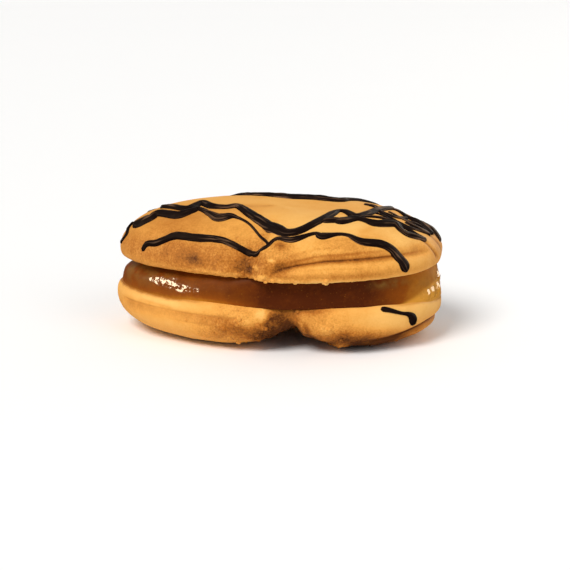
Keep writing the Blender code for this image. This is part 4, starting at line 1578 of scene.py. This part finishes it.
class COOKIE_OT_jam(bpy.types.Operator):
    """Fill the cookie with jam"""

    bl_idname = "cookie.jam"
    bl_label = "Jam"

    def execute(self, context):
        look = context.scene.cookie_jam
        values = {"Waves": look.waves, "Crinkle": look.crinkle}
        start = jam_mesh(look.bulge)
        piece = grown("jam_layer", start, jam_tree(), jam_material(look), values)
        hand_over(piece, "jam", "jam_filling")
        return {"FINISHED"}


class COOKIE_OT_drizzle(bpy.types.Operator):
    """Draw the chocolate over both biscuits"""

    bl_idname = "cookie.drizzle"
    bl_label = "Drizzle"

    def execute(self, context):
        look = context.scene.cookie_chocolate
        values = {"Step": STRAND_STEP, "Bead Height": look.bead_height, "Ridges": look.ridges}
        material = chocolate_material(look)
        writer = strand_tree()
        lines = (
            ("drizzle", UPPER_STRANDS, "top_crust", "top_biscuit"),
            ("stray_drizzle", LOWER_STRANDS, "bottom_crust", "bottom_biscuit"),
        )
        for name, strands, crust, node in lines:
            values["Biscuit"] = made_before(crust, "drizzle")
            piece = grown(name, strand_guides(name, strands), writer, material, values)
            hand_over(piece, "", node)
        return {"FINISHED"}


def strand_guides(name, strands):
    """Each strand as a line of points, with its width and how deeply it is ridged and painted with
    highlights.
    """
    places, edges, widths, ridged_and_highlit = [], [], [], []
    for title, course in strands.items():
        kind = title.rstrip("_0123456789")
        ridged_and_highlit += [RIDGED_AND_HIGHLIT.get(kind, FAINTLY_RIDGED_AND_HIGHLIT)] * len(course)
        for index, (x, y, z, width) in enumerate(course):
            if index:
                edges.append((len(places) - 1, len(places)))
            places.append(Vector((x, y, z)) * MM + Vector(TO_FOOTPRINT))
            widths.append(width * MM)
    mesh = bpy.data.meshes.new(name)
    mesh.from_pydata(places, edges, [])
    mesh.attributes.new("width", "FLOAT", "POINT").data.foreach_set("value", widths)
    mesh.attributes.new("ridged_and_highlit", "FLOAT", "POINT").data.foreach_set("value", ridged_and_highlit)
    return mesh


class COOKIE_OT_crumbs(bpy.types.Operator):
    """Scatter crumbs over the crumbly parts of both biscuits"""

    bl_idname = "cookie.crumbs"
    bl_label = "Crumbs"

    def execute(self, context):
        look = context.scene.cookie_crumbs
        values = {"Density": look.density, "Smallest": look.smallest, "Largest": look.largest}
        writer = crumb_tree()
        for offset, crust in enumerate(("top_crust", "bottom_crust")):
            values["Seed"] = look.seed + offset
            start = made_before(crust, "crumbs").data.copy()
            piece = grown(crust + "_crumbs", start, writer, baked_dough(context), values)
            hand_over(piece, "biscuit")
        return {"FINISHED"}


class COOKIE_PT_panel(bpy.types.Panel):
    """Steps and settings of the cookie."""

    bl_label = "Jam crescent cookie"
    bl_idname = "COOKIE_PT_panel"
    bl_space_type = "VIEW_3D"
    bl_region_type = "UI"
    bl_category = "Cookie"

    def draw(self, context):
        for step in STEPS:
            self.layout.operator(step.bl_idname)
        for holder in SETTINGS:
            settings = getattr(context.scene, holder)
            box = self.layout.box()
            box.label(text=settings.bl_rna.name)
            for name in settings.__annotations__:
                box.prop(settings, name)


SETTINGS = {
    "cookie_crust": CookieCrust,
    "cookie_jam": CookieJam,
    "cookie_chocolate": CookieChocolate,
    "cookie_crumbs": CookieCrumbs,
    "cookie_stage": CookieStage,
}
STEPS = (
    COOKIE_OT_stage,
    COOKIE_OT_top_crust,
    COOKIE_OT_bottom_crust,
    COOKIE_OT_jam,
    COOKIE_OT_drizzle,
    COOKIE_OT_crumbs,
)


def register():
    for holder, settings in SETTINGS.items():
        bpy.utils.register_class(settings)
        setattr(bpy.types.Scene, holder, bpy.props.PointerProperty(type=settings))
    for kind in (*STEPS, COOKIE_PT_panel):
        bpy.utils.register_class(kind)


def unregister():
    for kind in (COOKIE_PT_panel, *reversed(STEPS)):
        bpy.utils.unregister_class(kind)
    for holder, settings in SETTINGS.items():
        delattr(bpy.types.Scene, holder)
        bpy.utils.unregister_class(settings)


def main():
    """Makes every piece."""
    register()
    bpy.ops.cookie.stage()
    bpy.ops.cookie.top_crust()
    bpy.ops.cookie.bottom_crust()
    bpy.ops.cookie.jam()
    bpy.ops.cookie.drizzle()
    bpy.ops.cookie.crumbs()
    bpy.context.view_layer.update()


if __name__ == "__main__":
    main()
